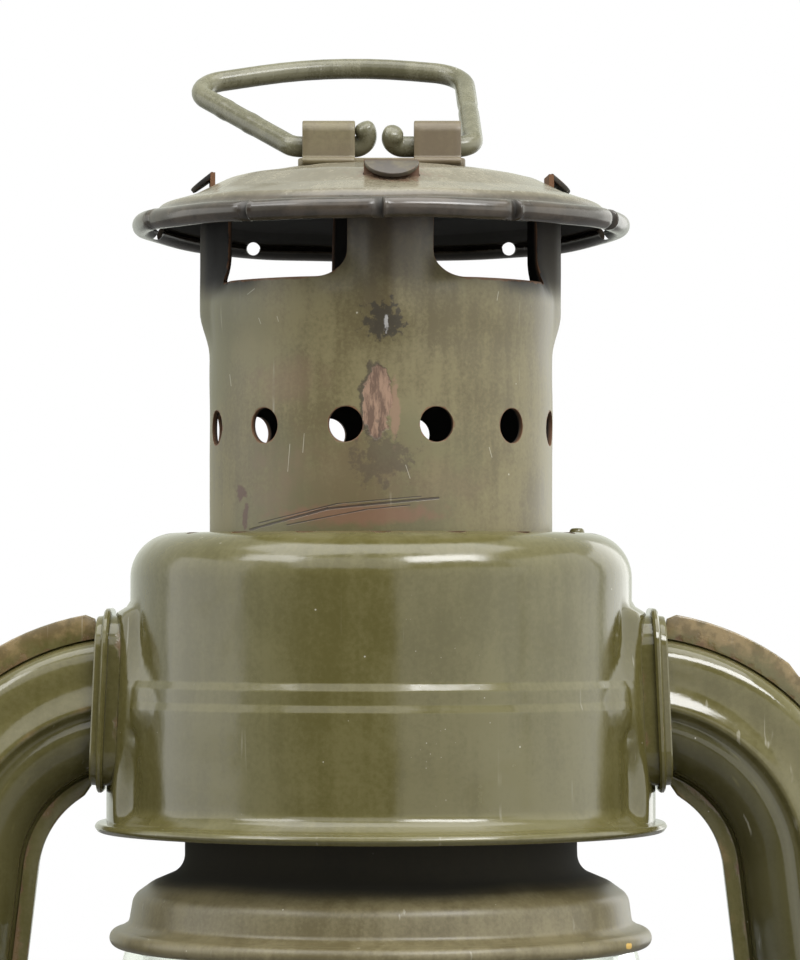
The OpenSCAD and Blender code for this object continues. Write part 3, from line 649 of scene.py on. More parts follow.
def enamel(name, dark, light, rough, scale=45.0, worn=0.62, specks=0.05, lines=0.35, marks=None, soot_and_painted_shade=0.0, tint=None):
    """Worn enamel: uneven paint, brown edges with rust in them, specks, hairlines, own marks, and near-black soot that
    also stands in as painted shade.
    """
    made, t, skin = material(name)
    c = colours()
    paint = use(t, mottle_group(), Dark=dark, Light=light, Scale=scale)
    colour, value = paint.outputs["Colour"], paint.outputs["Value"]
    if tint:
        drift = span(t, noise(t, spot(t), 34.0, 4.0), 0.46, 0.62)
        colour = blend(t, times(t, drift, 0.55), colour, tint)
    worn_mask = use(t, edge_group(), Amount=worn, Scale=260.0).outputs[0]
    rust_mask = use(t, edge_group(), Amount=worn * 0.8, Scale=520.0).outputs[0]
    colour = blend(t, times(t, worn_mask, 0.85), colour, tuple(c.brown))
    colour = blend(t, times(t, rust_mask, 0.6), colour, tuple(c.rust))
    roughness = plus(t, times(t, value, 0.06), rough)
    roughness = plus(t, roughness, times(t, worn_mask, 0.18))
    height = times(t, noise(t, spot(t), 420.0, 3.0), 0.25)
    height = calc(t, "SUBTRACT", height, times(t, worn_mask, 0.5))
    if marks:
        colour, roughness, height = marks(t, colour, roughness, height)
    dust = use(t, speck_group(), Scale=900.0, Share=specks).outputs[0]
    hair = use(t, hairline_group(), Scale=850.0).outputs[0]
    dust = calc(t, "MAXIMUM", times(t, dust, 0.6), times(t, hair, lines))
    colour = blend(t, dust, colour, tuple(c.dust))
    if soot_and_painted_shade:
        # Near-black from the mask that the mesh holds: soot, and painted shade in hollows, notches and under overhangs.
        black = attribute(t, "soot_and_painted_shade")
        colour = blend(t, times(t, black, soot_and_painted_shade), colour, (0.010, 0.009, 0.007))
        roughness = plus(t, roughness, times(t, black, 0.55))
    plug(t, skin.inputs["Base Color"], colour)
    plug(t, skin.inputs["Roughness"], roughness)
    emboss(t, skin, 0.35, 0.00025, height)
    return made


BLOT_DEPTH = 0.02  # a patch reaches this far into the lantern, in metres, and so stays on its front
WICK_CHAR = (0.0605, 0.0642)  # heights between which the wick turns black, in metres
# Where the paint of the chimney darkens with height towards the canopy, and where painted shade darkens its side legs
# across, upwards and, in their folded edges, in depth, in metres
TOP_DARKENING = (0.2290, 0.2395)
LEG_SIDE, LEG_BLACK, LEG_FOLD = (0.0150, 0.0195), (0.2285, 0.2325), (0.0030, 0.0046)

# Marks of the chimney in millimetres: place, half size and strength of a stain, or the ends and width of a line
STAINS = ((-13, 217, 7, 5, 0.5), (-6, 204, 15, 9, 0.3), (8, 203, 8, 6, 0.25), (-15, 203, 5, 7, 0.35))
SCORES = ((-18.2, 196.6, -7.4, 199.4, 0.24), (-7.4, 199.4, 7.9, 200.9, 0.22), (-17.0, 197.5, -6.0, 200.1, 0.12),
          (-6.0, 200.1, 5.5, 201.1, 0.10), (-13.0, 197.2, -2.0, 199.3, 0.12), (-2.0, 199.3, 4.0, 199.9, 0.10))
RED_RUNS = ((-19.6, 201.8, 1.0, 1.5), (-18.9, 198.6, 0.55, 2.6))
SCRATCHES = ((-17.0, 226.0, -16.7, 225.2), (-14.4, 226.1, -14.2, 225.4), (-12.6, 208.4, -12.9, 204.6),
             (16.3, 229.6, 16.1, 228.4), (-10.6, 209.8, -10.8, 207.2), (3.4, 205.4, 4.0, 203.6),
             (-21.2, 218.4, -21.0, 216.8), (15.0, 208.0, 15.4, 206.6), (-18.6, 229.4, -17.6, 230.1))
SCRATCH_WIDTH = 0.06


def drum_marks(t, colour, roughness, height):
    """Dust to the right of the drum's middle and a few dull rubs."""
    c = colours()
    zone = use(t, blot_group(), Centre=(0.0085, -0.034, 0.172), Reach=(0.010, 0.02, 0.020), Ragged=1.4,
               Scale=160.0, Soft=0.6).outputs[0]
    flecks = use(t, speck_group(), Scale=1500.0, Share=0.22).outputs[0]
    zone = times(t, zone, flecks)
    colour = blend(t, times(t, zone, 0.55), colour, tuple(c.dust))
    rub = span(t, noise(t, spot(t), 120.0, 3.0), 0.56, 0.72)
    roughness = plus(t, roughness, times(t, rub, 0.10))
    return colour, roughness, height


def over(t, colour, mask, share, tone):
    """Colour with a tone laid over it by a share of a mask."""
    return blend(t, times(t, mask, share), colour, tone)


def blot(t, x, z, wide, tall, **look):
    """Mask of a ragged patch on the front, from its place and half size in millimetres."""
    return use(t, blot_group(), Centre=(x * MM, -CHIMNEY_R * MM, z * MM), Reach=(wide * MM, BLOT_DEPTH, tall * MM),
               **look).outputs[0]


def stroke(t, x0, z0, x1, z1, wide):
    """Mask of a scored line on the front between two places in millimetres."""
    return use(t, stroke_group(), From=(x0 * MM, 0, z0 * MM), To=(x1 * MM, 0, z1 * MM), Width=wide * MM).outputs[0]


def chimney_marks(t, colour, roughness, height):
    """Bare patch with a painted shadow at its rim, blister, scored lines with rust under them, red runs and heat stains
    on the chimney, darker towards the canopy, with painted shade on its side legs.
    """
    c = colours()
    for x, z, wide, tall, share in STAINS:
        stain = blot(t, x, z, wide, tall, Ragged=2.4, Scale=240.0, Soft=0.9)
        colour = over(t, colour, stain, share, (0.150, 0.098, 0.058))
    x, y, z = axes(t)
    ragged = span(t, noise(t, spot(t), 330.0, 5.0, 0.65), 0.30, 0.62, 0.5, 1.0)
    # Darker towards the canopy, nearly black over the top of the chimney.
    colour = over(t, colour, times(t, span(t, z, *TOP_DARKENING), ragged), 0.92, (0.020, 0.014, 0.011))
    # Painted shade: the side legs, seen edge-on, darkened over their upper part.
    aside = times(t, span(t, calc(t, "ABSOLUTE", x), *LEG_SIDE), span(t, z, *LEG_BLACK))
    colour = over(t, colour, aside, 0.86, (0.026, 0.021, 0.016))
    # Painted shadow: near-black in the folded edges of the side legs.
    turned = times(t, aside, span(t, calc(t, "ABSOLUTE", y), *LEG_FOLD))
    colour = over(t, colour, turned, 0.95, (0.004, 0.003, 0.003))
    roughness = plus(t, roughness, times(t, aside, 0.30))
    edge = use(t, edge_group(), Amount=0.6, Scale=620.0).outputs[0]
    colour = over(t, colour, edge, 0.75, (0.150, 0.068, 0.028))
    scorch = blot(t, 1.2, 238.0, 9.0, 12.0, Ragged=1.4, Scale=200.0, Soft=0.9)
    colour = over(t, colour, scorch, 0.55, (0.055, 0.036, 0.024))
    streak = place(t, "ShaderNodeMapping", {"Vector": spot(t), "Scale": (1.0, 1.0, 0.2)}).outputs[0]
    hatch = span(t, noise(t, streak, 1500.0, 5.0, 0.7), 0.40, 0.60)
    bare = blend(t, hatch, (0.105, 0.060, 0.038), (0.262, 0.165, 0.108))
    # Painted shadow: a dark rim left of and above the bare patch, where the broken paint's edge casts shade.
    edge = blot(t, -0.75, 214.3, 2.35, 5.3, Ragged=1.3, Scale=360.0, Soft=0.12)
    patch = blot(t, -0.5, 214.1, 2.1, 4.9, Ragged=1.3, Scale=360.0, Soft=0.08)
    side = blot(t, 1.95, 212.9, 0.75, 5.0, Ragged=2.2, Scale=520.0, Soft=0.3)
    colour = over(t, colour, edge, 0.8, (0.036, 0.026, 0.017))
    colour = over(t, colour, patch, 0.95, bare)
    colour = over(t, colour, side, 0.75, (0.230, 0.140, 0.090))
    drip = blot(t, 0.3, 206.6, 4.2, 4.0, Ragged=3.2, Scale=800.0, Soft=0.4)
    colour = over(t, colour, drip, 0.55, (0.052, 0.038, 0.026))
    crack = blot(t, 0.4, 225.3, 2.8, 2.6, Ragged=3.6, Scale=900.0, Soft=0.25)
    colour = over(t, colour, crack, 0.8, (0.030, 0.024, 0.018))
    fleck = blot(t, 0.75, 224.9, 0.36, 1.3, Ragged=2.6, Scale=1500.0, Soft=0.4)
    colour = over(t, colour, fleck, 0.85, (0.42, 0.41, 0.40))
    height = plus(t, height, times(t, fleck, 1.2))
    height = calc(t, "SUBTRACT", height, times(t, patch, 0.8))
    under = blot(t, -3.5, 198.6, 13.5, 1.9, Ragged=1.8, Scale=420.0, Soft=0.6)
    colour = over(t, colour, under, 0.7, (0.165, 0.082, 0.050))
    for x0, z0, x1, z1, wide in SCORES:
        line = stroke(t, x0, z0, x1, z1, wide)
        colour = over(t, colour, line, 0.85, (0.034, 0.024, 0.017))
        height = calc(t, "SUBTRACT", height, times(t, line, 1.2))
    for x, z, wide, tall in RED_RUNS:
        run = blot(t, x, z, wide, tall, Ragged=2.4, Scale=900.0, Soft=0.3)
        colour = over(t, colour, run, 0.85, (0.062, 0.022, 0.015))
    for ends in SCRATCHES:
        colour = over(t, colour, stroke(t, *ends, SCRATCH_WIDTH), 0.5, tuple(c.dust))
    roughness = plus(t, roughness, times(t, patch, 0.22))
    return colour, roughness, height


def canopy_marks(t, colour, roughness, height):
    """Dark brown of the glossy rolled rim and rust round the front tab."""
    rim = attribute(t, "rim")
    tone = blend(t, span(t, noise(t, spot(t), 260.0, 4.0), 0.4, 0.62), (0.020, 0.014, 0.011), (0.047, 0.035, 0.026))
    colour = over(t, colour, rim, 0.9, tone)
    rust = blot(t, 1.5, 245.6, 6.0, 1.6, Ragged=2.0, Scale=420.0, Soft=0.5)
    colour = over(t, colour, rust, 0.55, (0.140, 0.066, 0.040))
    return colour, calc(t, "SUBTRACT", roughness, times(t, rim, 0.06)), height


def seam_marks(t, colour, roughness, height):
    """Golden brown of the folded seams, along the seam attribute, and painted shade darkening the lower lobes."""
    seam = attribute(t, "seam")
    ragged = noise(t, spot(t), 210.0, 6.0, 0.65)
    mask = span(t, plus(t, seam, ragged), 0.82, 1.12)
    grime_and_painted_shade = attribute(t, "grime_and_painted_shade")
    # Painted shade: the lower lobes darkened where the bend above keeps the light from them.
    colour = over(t, colour, grime_and_painted_shade, 0.6, (0.034, 0.032, 0.013))
    tone = blend(t, span(t, noise(t, spot(t), 480.0, 4.0), 0.4, 0.6), (0.110, 0.076, 0.030), (0.205, 0.145, 0.066))
    colour = blend(t, times(t, mask, 0.85), colour, tone)
    return colour, plus(t, roughness, times(t, mask, 0.14)), height


def cap_marks(t, colour, roughness, height):
    """One yellow chip on the cap's rim."""
    chip = use(t, blot_group(), Centre=(0.0345, -0.0165, 0.1387), Reach=(0.0005, 0.004, 0.0005), Ragged=1.6,
               Scale=900.0).outputs[0]
    colour = blend(t, chip, colour, (0.62, 0.40, 0.10))
    return colour, roughness, height


@once("olive_enamel")
def olive_enamel(name):
    return enamel(name, tuple(colours().olive), tuple(colours().olive_pale), 0.13, marks=drum_marks, specks=0.03)


@once("tube_enamel")
def tube_enamel(name):
    return enamel(name, tuple(colours().olive), tuple(colours().olive_pale), 0.085, worn=0.45, specks=0.03,
                  marks=seam_marks)


@once("hood_enamel")
def hood_enamel(name):
    dark, light = (tuple(0.8 * v for v in tone) for tone in (colours().hood, colours().hood_pale))
    return enamel(name, dark, light, 0.40, scale=60.0, worn=0.6, specks=0.03, soot_and_painted_shade=1.0, tint=(0.105, 0.074, 0.046))


@once("canopy_enamel")
def canopy_enamel(name):
    return enamel(name, (0.115, 0.100, 0.066), (0.185, 0.165, 0.115), 0.24, scale=60.0, worn=0.45,
                  specks=0.03, marks=canopy_marks, soot_and_painted_shade=1.0)


@once("chimney_enamel")
def chimney_enamel(name):
    return enamel(name, tuple(colours().hood), tuple(colours().hood_pale), 0.40, scale=60.0, worn=0.62,
                  specks=0.03, lines=0.5, marks=chimney_marks, soot_and_painted_shade=1.0, tint=(0.098, 0.094, 0.042))


@once("cap_enamel")
def cap_enamel(name):
    return enamel(name, (0.098, 0.080, 0.036), (0.160, 0.136, 0.070), 0.38, scale=60.0, worn=0.4,
                  specks=0.04, marks=cap_marks, soot_and_painted_shade=0.88)


@once("wire_enamel")
def wire_enamel(name):
    return enamel(name, (0.080, 0.075, 0.041), (0.136, 0.129, 0.080), 0.24, scale=90.0, worn=0.5, specks=0.05)


@once("dull_brass")
def dull_brass(name):
    made, t, skin = material(name)
    tone = tuple(colours().brass)
    aged = use(t, mottle_group(), Dark=tuple(v * 0.42 for v in tone), Light=tone, Scale=120.0)
    hair = use(t, hairline_group(), Scale=1200.0).outputs[0]
    plug(t, skin.inputs["Base Color"], blend(t, times(t, hair, 0.4), aged.outputs[0], (0.85, 0.72, 0.45)))
    plug(t, skin.inputs["Roughness"], span(t, aged.outputs["Value"], 0.0, 1.0, 0.46, 0.28))
    skin.inputs["Metallic"].default_value = 1.0
    return made


@once("spring_steel")
def spring_steel(name):
    made, t, skin = material(name)
    aged = use(t, mottle_group(), Dark=(0.26, 0.24, 0.22), Light=(0.55, 0.54, 0.52), Scale=160.0)
    plug(t, skin.inputs["Base Color"], aged.outputs[0])
    plug(t, skin.inputs["Roughness"], span(t, aged.outputs["Value"], 0.0, 1.0, 0.5, 0.3))
    skin.inputs["Metallic"].default_value = 1.0
    return made


@once("clear_glass")
def clear_glass(name):
    made, t, skin = material(name)
    film = use(t, speck_group(), Scale=300.0, Share=0.05).outputs[0]
    haze = span(t, noise(t, spot(t), 60.0, 5.0), 0.5, 0.75)
    plug(t, skin.inputs["Roughness"], plus(t, times(t, haze, 0.05), times(t, film, 0.2)))
    plug(t, skin.inputs["Base Color"], blend(t, haze, (0.97, 0.99, 0.98), (0.93, 0.95, 0.93)))
    skin.inputs["Transmission Weight"].default_value = 1.0
    skin.inputs["IOR"].default_value = 1.48
    emboss(t, skin, 0.06, 0.0008, noise(t, spot(t), 40.0, 2.0))
    return made


@once("wick_cotton")
def wick_cotton(name):
    made, t, skin = material(name)
    where = spot(t)
    weave = place(t, "ShaderNodeTexWave", {"Vector": where, "Scale": 620.0, "Distortion": 1.2, "Detail": 2.0},
                  bands_direction="Z").outputs["Fac"]
    warp = place(t, "ShaderNodeTexWave", {"Vector": where, "Scale": 520.0, "Distortion": 0.8},
                 bands_direction="Y").outputs["Fac"]
    cloth = times(t, weave, warp)
    top = span(t, axes(t)[2], *WICK_CHAR)
    cotton = blend(t, cloth, (0.48, 0.43, 0.33), (0.74, 0.69, 0.57))
    plug(t, skin.inputs["Base Color"], blend(t, top, cotton, (0.02, 0.018, 0.016)))
    skin.inputs["Roughness"].default_value = 0.95
    emboss(t, skin, 0.7, 0.0003, cloth)
    return made


@once("gasket_rubber")
def gasket_rubber(name):
    made, t, skin = material(name)
    grime_and_painted_shade = use(t, mottle_group(), Dark=(0.012, 0.012, 0.012), Light=(0.045, 0.043, 0.04), Scale=200.0)
    plug(t, skin.inputs["Base Color"], grime_and_painted_shade.outputs[0])
    plug(t, skin.inputs["Roughness"], span(t, grime_and_painted_shade.outputs["Value"], 0.0, 1.0, 0.6, 0.85))
    return made


# ---- pieces -------------------------------------------------------------------------------------

def sizes():
    """The sizes that the panel holds."""
    return bpy.context.scene.lantern_sizes


class LANTERN_OT_pull_ring(bpy.types.Operator):
    """Wire pull ring with its bent ends, and the rolled bracket that holds it"""
    bl_idname = "lantern.pull_ring"
    bl_label = "Pull ring"

    def execute(self, context):
        s = sizes()
        lean, r = s.ring_lean, s.ring_wire / MM
        loop = [(-2.35, 0, 2.75), (-1.2, 0, 0), (-12.6, 0, 0), (-28.9, 22.6, 0), (-7, 31.3, 0), (12.2, 27.0, 0),
                (13.2, 0, 0), (0.9, 0, 0), (1.75, -0.9, 2.35)]
        line = dense(rounded(loop, [0, 1.72, 2.4, 4.6, 38, 6, 2.4, 1.72, 0], 5.0), 0.9)
        bumps = sum(h * np.exp(-((line[:, 0] - x) ** 2 + (line[:, 1] - y) ** 2) / 0.7)
                    for x, y, h in ((-22.9, 13.6, 0.13), (-18.9, 8.4, 0.10), (12.7, 14.0, -0.16), (-9.0, 30.6, 0.07)))
        c, n = math.cos(lean), math.sin(lean)
        pts = np.stack([line[:, 0], line[:, 1] * c - line[:, 2] * n, HINGE_Z + line[:, 1] * n + line[:, 2] * c], 1)
        ring = loft("pull_ring", wire_rings(pts, r + bumps))
        fit(ring, "lift_ring", "wire_paint", "wire_enamel", "lift_ring")

        strap = 1.0
        foot = PLATEAU_Z + 0.02
        plate_t = 1.35
        half, top = r + strap + 0.38, HINGE_Z + 3.6
        line = rounded([(-4.5, foot + plate_t), (-half, foot + plate_t), (-half, top), (half, top),
                        (half, foot + plate_t), (4.5, foot + plate_t)], [0, 0.5, 1.7, 1.7, 0.5, 0], 9.0)
        section = sheet_section(line, strap)
        parts = []
        for x, wide in ((-11.2, 7.5), (4.7, 6.7)):
            rings = [np.column_stack([np.full(len(section), x + w), section]) for w in np.linspace(0, wide, 9)]
            parts.append(bevelled(loft("knuckle", rings), 0.18))
        plate = [(-11.8, -4.3), (12.0, -4.3), (12.0, 4.3), (-11.8, 4.3)]
        rim = rounded([(0, -4.3), *plate[1:], plate[0], (0, -4.3)], [0, 1.2, 1.2, 1.2, 1.2, 0])[:-1]
        parts.append(bevelled(loft("foot", [np.column_stack([rim, np.full(len(rim), z)])
                                            for z in (foot - 0.02, foot + plate_t)]), 0.25))
        fit(joined("ring_knuckles", parts), "hood", "hood_paint", "hood_enamel", "ring_bracket")
        return {"FINISHED"}


class LANTERN_OT_canopy(bpy.types.Operator):
    """Spun canopy with its rolled rim, crimps and holes"""
    bl_idname = "lantern.canopy"
    bl_label = "Canopy"

    def execute(self, context):
        s = sizes()
        t = s.sheet / MM
        centre = CANOPY_R - RIM_R
        top = PLATEAU_Z
        dish = rounded([(0.0, top), (13.0, top), (21.8, top - 1.5), (26.4, top - 3.75), (31.3, top - 5.25),
                        (32.6, RIM_Z + 1.5)], [0, 9.0, 5.0, 4.0, 1.4, 0])
        roll = arc((centre, RIM_Z), RIM_R, 118, -165, 22)
        path = dense(distinct(np.vstack([dish, roll])), 0.9)
        crimps = np.radians(np.array([0, 31.8, -31.8, 68, -68]) - 90)
        holes = np.radians(np.array([107, -107, 146, -146, 180]) - 90)

        def pinch(p):
            """How deep each point lies in the slanted notch of a crimp, and how high on its ridge."""
            a, r = polar(p)
            away = (a[:, None] - crimps + math.pi) % (2 * math.pi) - math.pi
            near = away[np.arange(len(p)), np.abs(away).argmin(1)] * r - 0.12
            front = ease(centre - 0.6, centre + 0.7, r)
            notch = np.exp(-(near / np.where(near < 0, 0.85, 0.17)) ** 2)
            ridge = np.exp(-((near - 0.5) / 0.3) ** 2)
            return front * notch, front * ridge

        def sag(y):
            """How far the bent back of the rim hangs."""
            return 1.2 * ease(4.0, 34.0, y)

        def shape(p):
            a, r = polar(p)
            notch, ridge = pinch(p)
            swollen(p, ridge * 0.22 - notch * 0.8 + 0.10 * waves(a, p[:, 2], 1.7))
            p[:, 2] += (s.dent / MM) * 2.0 * waves(a * 1.5, r, 0.4) - sag(p[:, 1])
            return p

        fine = np.array([-1.6, -1.1, -0.75, -0.45, -0.2, 0.0, 0.12, 0.2, 0.3, 0.42, 0.62, 0.8, 1.0, 1.3]) / CANOPY_R
        piece = lathe("canopy_dish", sheet_section(path, t), s.turns, shape, (crimps[:, None] + fine).ravel())
        spots = [heading(a)[0] * centre + (0, 0, RIM_Z - sag(centre * math.sin(a))) for a in holes]
        cutters = [rod(q - (0, 4, 0.3), (0, 1, 0.075), 0.98, 8.0, 20) for q in spots]
        for k in range(4):
            d, e = heading(HOOD_TURN + k * math.pi / 2)
            near, far, half = CHIMNEY_R - t - 0.1, CHIMNEY_R + 0.1, TAB_R + 0.1
            rect = [d * near - e * half, d * far - e * half, d * far + e * half, d * near + e * half]
            cutters.append(loft("slot", [np.array(rect) + (0, 0, z) for z in (CANOPY_Z - 3, CANOPY_Z + 4)]))
        cut(piece, cutters)
        p = points_of(piece)
        n = np.array([v.normal for v in piece.data.vertices])
        # Painted shade: the underside inside the rim is darkened for soot and shade, and each crimp notch is painted
        # near-black as the shadow in its slit.
        under = ease(-0.05, -0.4, n[:, 2]) * ease(33.8, 32.6, np.hypot(p[:, 0], p[:, 1]))
        store(piece, "soot_and_painted_shade", np.maximum(under, 0.9 * pinch(p)[0]))
        store(piece, "rim", ease(31.4, 32.4, np.hypot(p[:, 0], p[:, 1])))
        fit(piece, "hood", "hood_paint", "canopy_enamel", "canopy")
        return {"FINISHED"}


def crease_out(a, z, crease):
    """How far the chimney stands out at an angle and a height: the ridge of a leg, and its edges folded inwards."""
    away = np.abs((a - HOOD_TURN + math.pi / 4) % (math.pi / 2) - math.pi / 4) * CHIMNEY_R
    end = ease(CANOPY_Z + 0.4, CANOPY_Z - 1.5, z)
    across = np.clip(1 - away / 4.2, 0, 1)
    across = np.where(away < 0.9, across - (0.9 - away) ** 2 * 0.12, across)
    fold = np.clip((away - 3.2) / 3.1, 0, 1) * (1 - ease(8.0, 13.0, away)) * ease(228.5, 235.5, z)
    flare = 0.3 * ease(222.0, 227.8, z) * ease(CANOPY_Z, CANOPY_Z - 6, z)
    return (crease * ease(221.0, 227.8, z) * across - (1.2 + 1.5 * np.abs(np.cos(a))) * fold) * end + flare


class LANTERN_OT_chimney(bpy.types.Operator):
    """Chimney with its holes, windows, creased legs and half-moon tabs"""
    bl_idname = "lantern.chimney"
    bl_label = "Chimney"

    def execute(self, context):
        s = sizes()
        t, crease = s.sheet / MM, s.crease / MM
        path = dense(np.array([(CHIMNEY_R, CANOPY_Z), (CHIMNEY_R, NECK_TOP - 5)]), 0.9)

        def shape(p):
            a, z = polar(p)[0], p[:, 2]
            dents = (s.dent / MM) * 1.2 * waves(a, z, 2.9) * ease(198, 204, z)
            return swollen(p, crease_out(a, z, crease) + dents)

        piece = lathe("chimney_wall", sheet_section(path, t, 0.3), s.turns, shape)
        chord, sill = 11.65, WINDOW_Z + 0.3
        cutters = []
        for k in range(4):
            d, e = heading(HOOD_TURN + math.radians(45 + 90 * k))
            near, far = (0.9, 3.4) if k % 2 == 0 else (3.4, 0.9)
            window = rounded([(0, sill), (chord, sill), (chord, CANOPY_Z + 2), (-chord, CANOPY_Z + 2), (-chord, sill),
                              (0, sill)], [0, far, 0, 0, near, 0])[:-1]
            rings = [d * f + window[:, :1] * e + window[:, 1:] * (0, 0, 1) for f in (12.0, 34.0)]
            cutters.append(loft("window", rings))
        for i in range(12):
            cutters.append(drill(HOOD_TURN + math.radians(15 + 30 * i), 18, HOLE_Z, HOLE_R, 10.0, 40))
        cut(piece, cutters)
        tabs = []
        for k in range(4):
            d, e = heading(HOOD_TURN + k * math.pi / 2)
            up = np.array((0, 0, 1))
            fold = d * math.cos(TAB_DROOP) - up * math.sin(TAB_DROOP)
            top = d * math.sin(TAB_DROOP) + up * math.cos(TAB_DROOP)
            base = d * (CHIMNEY_R - t) + up * (CANOPY_Z + 2.0)
            w = np.radians(np.linspace(-90, 90, 25))
            moon = [base + TAB_R * (math.cos(q) * fold + math.sin(q) * e) for q in w]
            tabs.append(bevelled(loft("moon", [np.array(moon), np.array(moon) + top * t]), 0.16))
            stem = [d * (CHIMNEY_R - f) + e * g for f, g in ((t, -TAB_R), (0, -TAB_R), (0, TAB_R), (t, TAB_R))]
            tabs.append(loft("stem", [np.array(stem) + (0, 0, z) for z in (CANOPY_Z - 0.4, CANOPY_Z + 2.4)]))
        piece = joined("chimney_wall", [piece, *tabs])
        p = points_of(piece)
        a, r = polar(p)
        # The inside below the canopy is painted near-black: soot with painted shade.
        inside = r < CHIMNEY_R + crease_out(a, p[:, 2], crease) - t * 0.6
        store(piece, "soot_and_painted_shade", inside & (p[:, 2] < CANOPY_Z - 0.1))
        fit(piece, "hood", "hood_paint", "chimney_enamel", "chimney")
        return {"FINISHED"}


class LANTERN_OT_air_chamber(bpy.types.Operator):
    """Drum of the air chamber with its drawn necks, band, lip and vents, and the two collars"""
    bl_idname = "lantern.air_chamber"
    bl_label = "Air chamber"

    def execute(self, context):
        s = sizes()
        t = s.sheet / MM
        hole = CHIMNEY_R + 0.3
        step, low, lip = 0.45, DRUM_R + 0.8, LIP_Z + 0.75
        line = [(hole, DRUM_TOP - 4), (hole, DRUM_TOP), (DRUM_R, DRUM_TOP), (DRUM_R, BAND_Z + 2.4),
                (DRUM_R + step, BAND_Z + 1.3), (DRUM_R + step, BAND_Z - 0.55), (low, BAND_Z - 1.65),
                (low, lip + 2.4), (LIP_R - 2.1, lip + 0.7), (LIP_R - 0.15, lip + 0.6), (LIP_R + 0.2, lip),
                (LIP_R - 0.25, lip - 0.6)]
        path = rounded(line, [0, 0.6, DRUM_EDGE, 0.9, 0.9, 0.9, 0.9, 2.4, 2.2, 0.4, 0.35, 0], 6.0)
        section = sheet_section(dense(path, 0.85), t)
        inner_from = len(dense(path, 0.85)) + 3

        def shape(p):
            k = np.arange(len(p)) % len(section)
            inner = ((k >= inner_from) & (k < len(section) - 3)) * t
            (a, r), z = polar(p), p[:, 2]
            wavy_lip = np.where(r > 36, 0.10 * waves(a, z * 0.1, 3.3) * ease(158, 155, z), 0)
            swollen(p, (s.dent / MM) * waves(a, z, 0.8) * ease(160, 166, z) + wavy_lip)
            x = np.abs(p[:, 0])
            rise = p[:, 2] - TUBE_Z
            wide = 3.0 + 7.0 * np.exp(-((rise + 0.5) / 5.5) ** 2)
            near = (1 - ease(0, 1, (np.abs(p[:, 1]) - 9.2) / wide)) * (1 - ease(12.0, 13.9, rise))
            lean = 0.2 - COLLAR_LEAN * np.clip(rise, -13, 13)
            goal = NECK_X + lean - inner - 1.5 * np.clip(np.abs(p[:, 1]) / 9.4, 0, 1.4) ** 2
            x = np.where((x > 15) & (goal > x), x + (goal - x) * near, x)
            for side in (-1, 1):
                pit = np.exp(-((p[:, 1] + 13.2) ** 2 + (p[:, 2] - 167.8) ** 2) / 0.7) * (np.sign(p[:, 0]) == side)
                x = x - 0.45 * pit
            p[:, 0] = np.sign(p[:, 0]) * x
            return p

        fine = np.radians(np.arange(9.0, 36.0, 0.8))
        drum = lathe("drum", section, s.turns, shape, np.r_[fine, -fine, math.pi - fine, math.pi + fine])
        cutters = []
        for i in range(18):
            a = math.radians((i + 0.5) * 20)
            cutters.append(rod((29.6 * math.cos(a), 29.6 * math.sin(a), DRUM_TOP - 2), (0, 0, 1), 1.5, 4.0, 20))
        for side in (-1, 1):
            cutters.append(rod((side * 33.5, 0, TUBE_Z + 2.6), (side, 0, 0), 6.4, 8.0, 32))
        cut(drum, cutters)
        pip = rounded([(0.0, 0.75), (0.95, 0.7), (1.2, -0.3)], [0, 0.5, 0])
        w = np.arange(24) * math.pi / 12
        dome = [np.column_stack([CAP_NECK_R + q[0] * np.cos(w), q[0] * np.sin(w), np.full(24, DRUM_TOP + q[1])])
                for q in pip[::-1]]
        fit(joined("drum", [drum, loft("pip", dome)]), "frame", "olive_paint", "olive_enamel", "air_chamber")

        corner, half_y, half_z = 6.0, 10.5, 13.0
        bead = [(-2.0, 1.0), (0.02, 0.9), (0.02, 0.45), (0.15, 0.08), (0.45, -0.1), (0.8, -0.05), (1.02, 0.22),
                (1.08, 0.62), (1.2, 0.95), (1.5, 1.0), (1.85, 1.02), (2.05, 1.2), (2.1, 1.6), (2.1, 5.2), (-2.0, 5.2)]
        for side, name in ((-1, "left"), (1, "right")):
            rings = []
            for out_x, inset in bead:
                y, z, c = half_y - inset, half_z - inset, corner - min(inset, 4.6)
                rim = np.vstack([arc((y - c, z - c), c, 0, 90, 10), arc((c - y, z - c), c, 90, 180, 10),
                                 arc((c - y, c - z), c, 180, 270, 10), arc((y - c, c - z), c, 270, 360, 10)])
                out = NECK_X + 0.3 + out_x - COLLAR_LEAN * rim[:, 1]
                rings.append(np.column_stack([side * out, rim[:, 0], TUBE_Z + rim[:, 1]]))
            n = len(rings[0])
            collar = new_piece("collar_%s_rim" % name, np.vstack(rings), grid_faces(len(rings), n, True))
            fit(collar, "frame", "olive_paint", "tube_enamel", "collar_" + name)
        return {"FINISHED"}


BEAD_N, SEAM_N, LOBE_TOP, LOBE_LOW = -0.4, 12.0, 8.8, -9.4
HALF_LINE = ((8.78, 1.5), (8.72, 3.2), (8.45, 4.6), (7.9, 5.5), (7.1, 6.05), (6.2, 6.35), (5.2, 6.5), (4.0, 6.56),
             (3.1, 6.64), (2.2, 6.84), (1.4, 7.12), (0.7, 7.42), (0.1, 7.66), (-0.4, 7.75), (-0.8, 7.6), (-1.1, 7.2),
             (-1.45, 6.7), (-1.95, 6.44), (-2.5, 6.54), (-3.2, 6.74), (-4.0, 6.76), (-5.1, 6.45), (-6.3, 5.82),
             (-7.4, 4.9), (-8.3, 3.8), (-8.95, 2.6), (-9.3, 1.5))
TOP_BEND, TOP_BEND_R, SPLAY = (35.6, 147.3), 25.2, 6.8
BOW, BOW_R, BOW_IN = (-52.5227, 85.6702), 120.0, 10.0
LOW_BEND, LOW_BEND_R = (42.0189, 69.0), 24.0


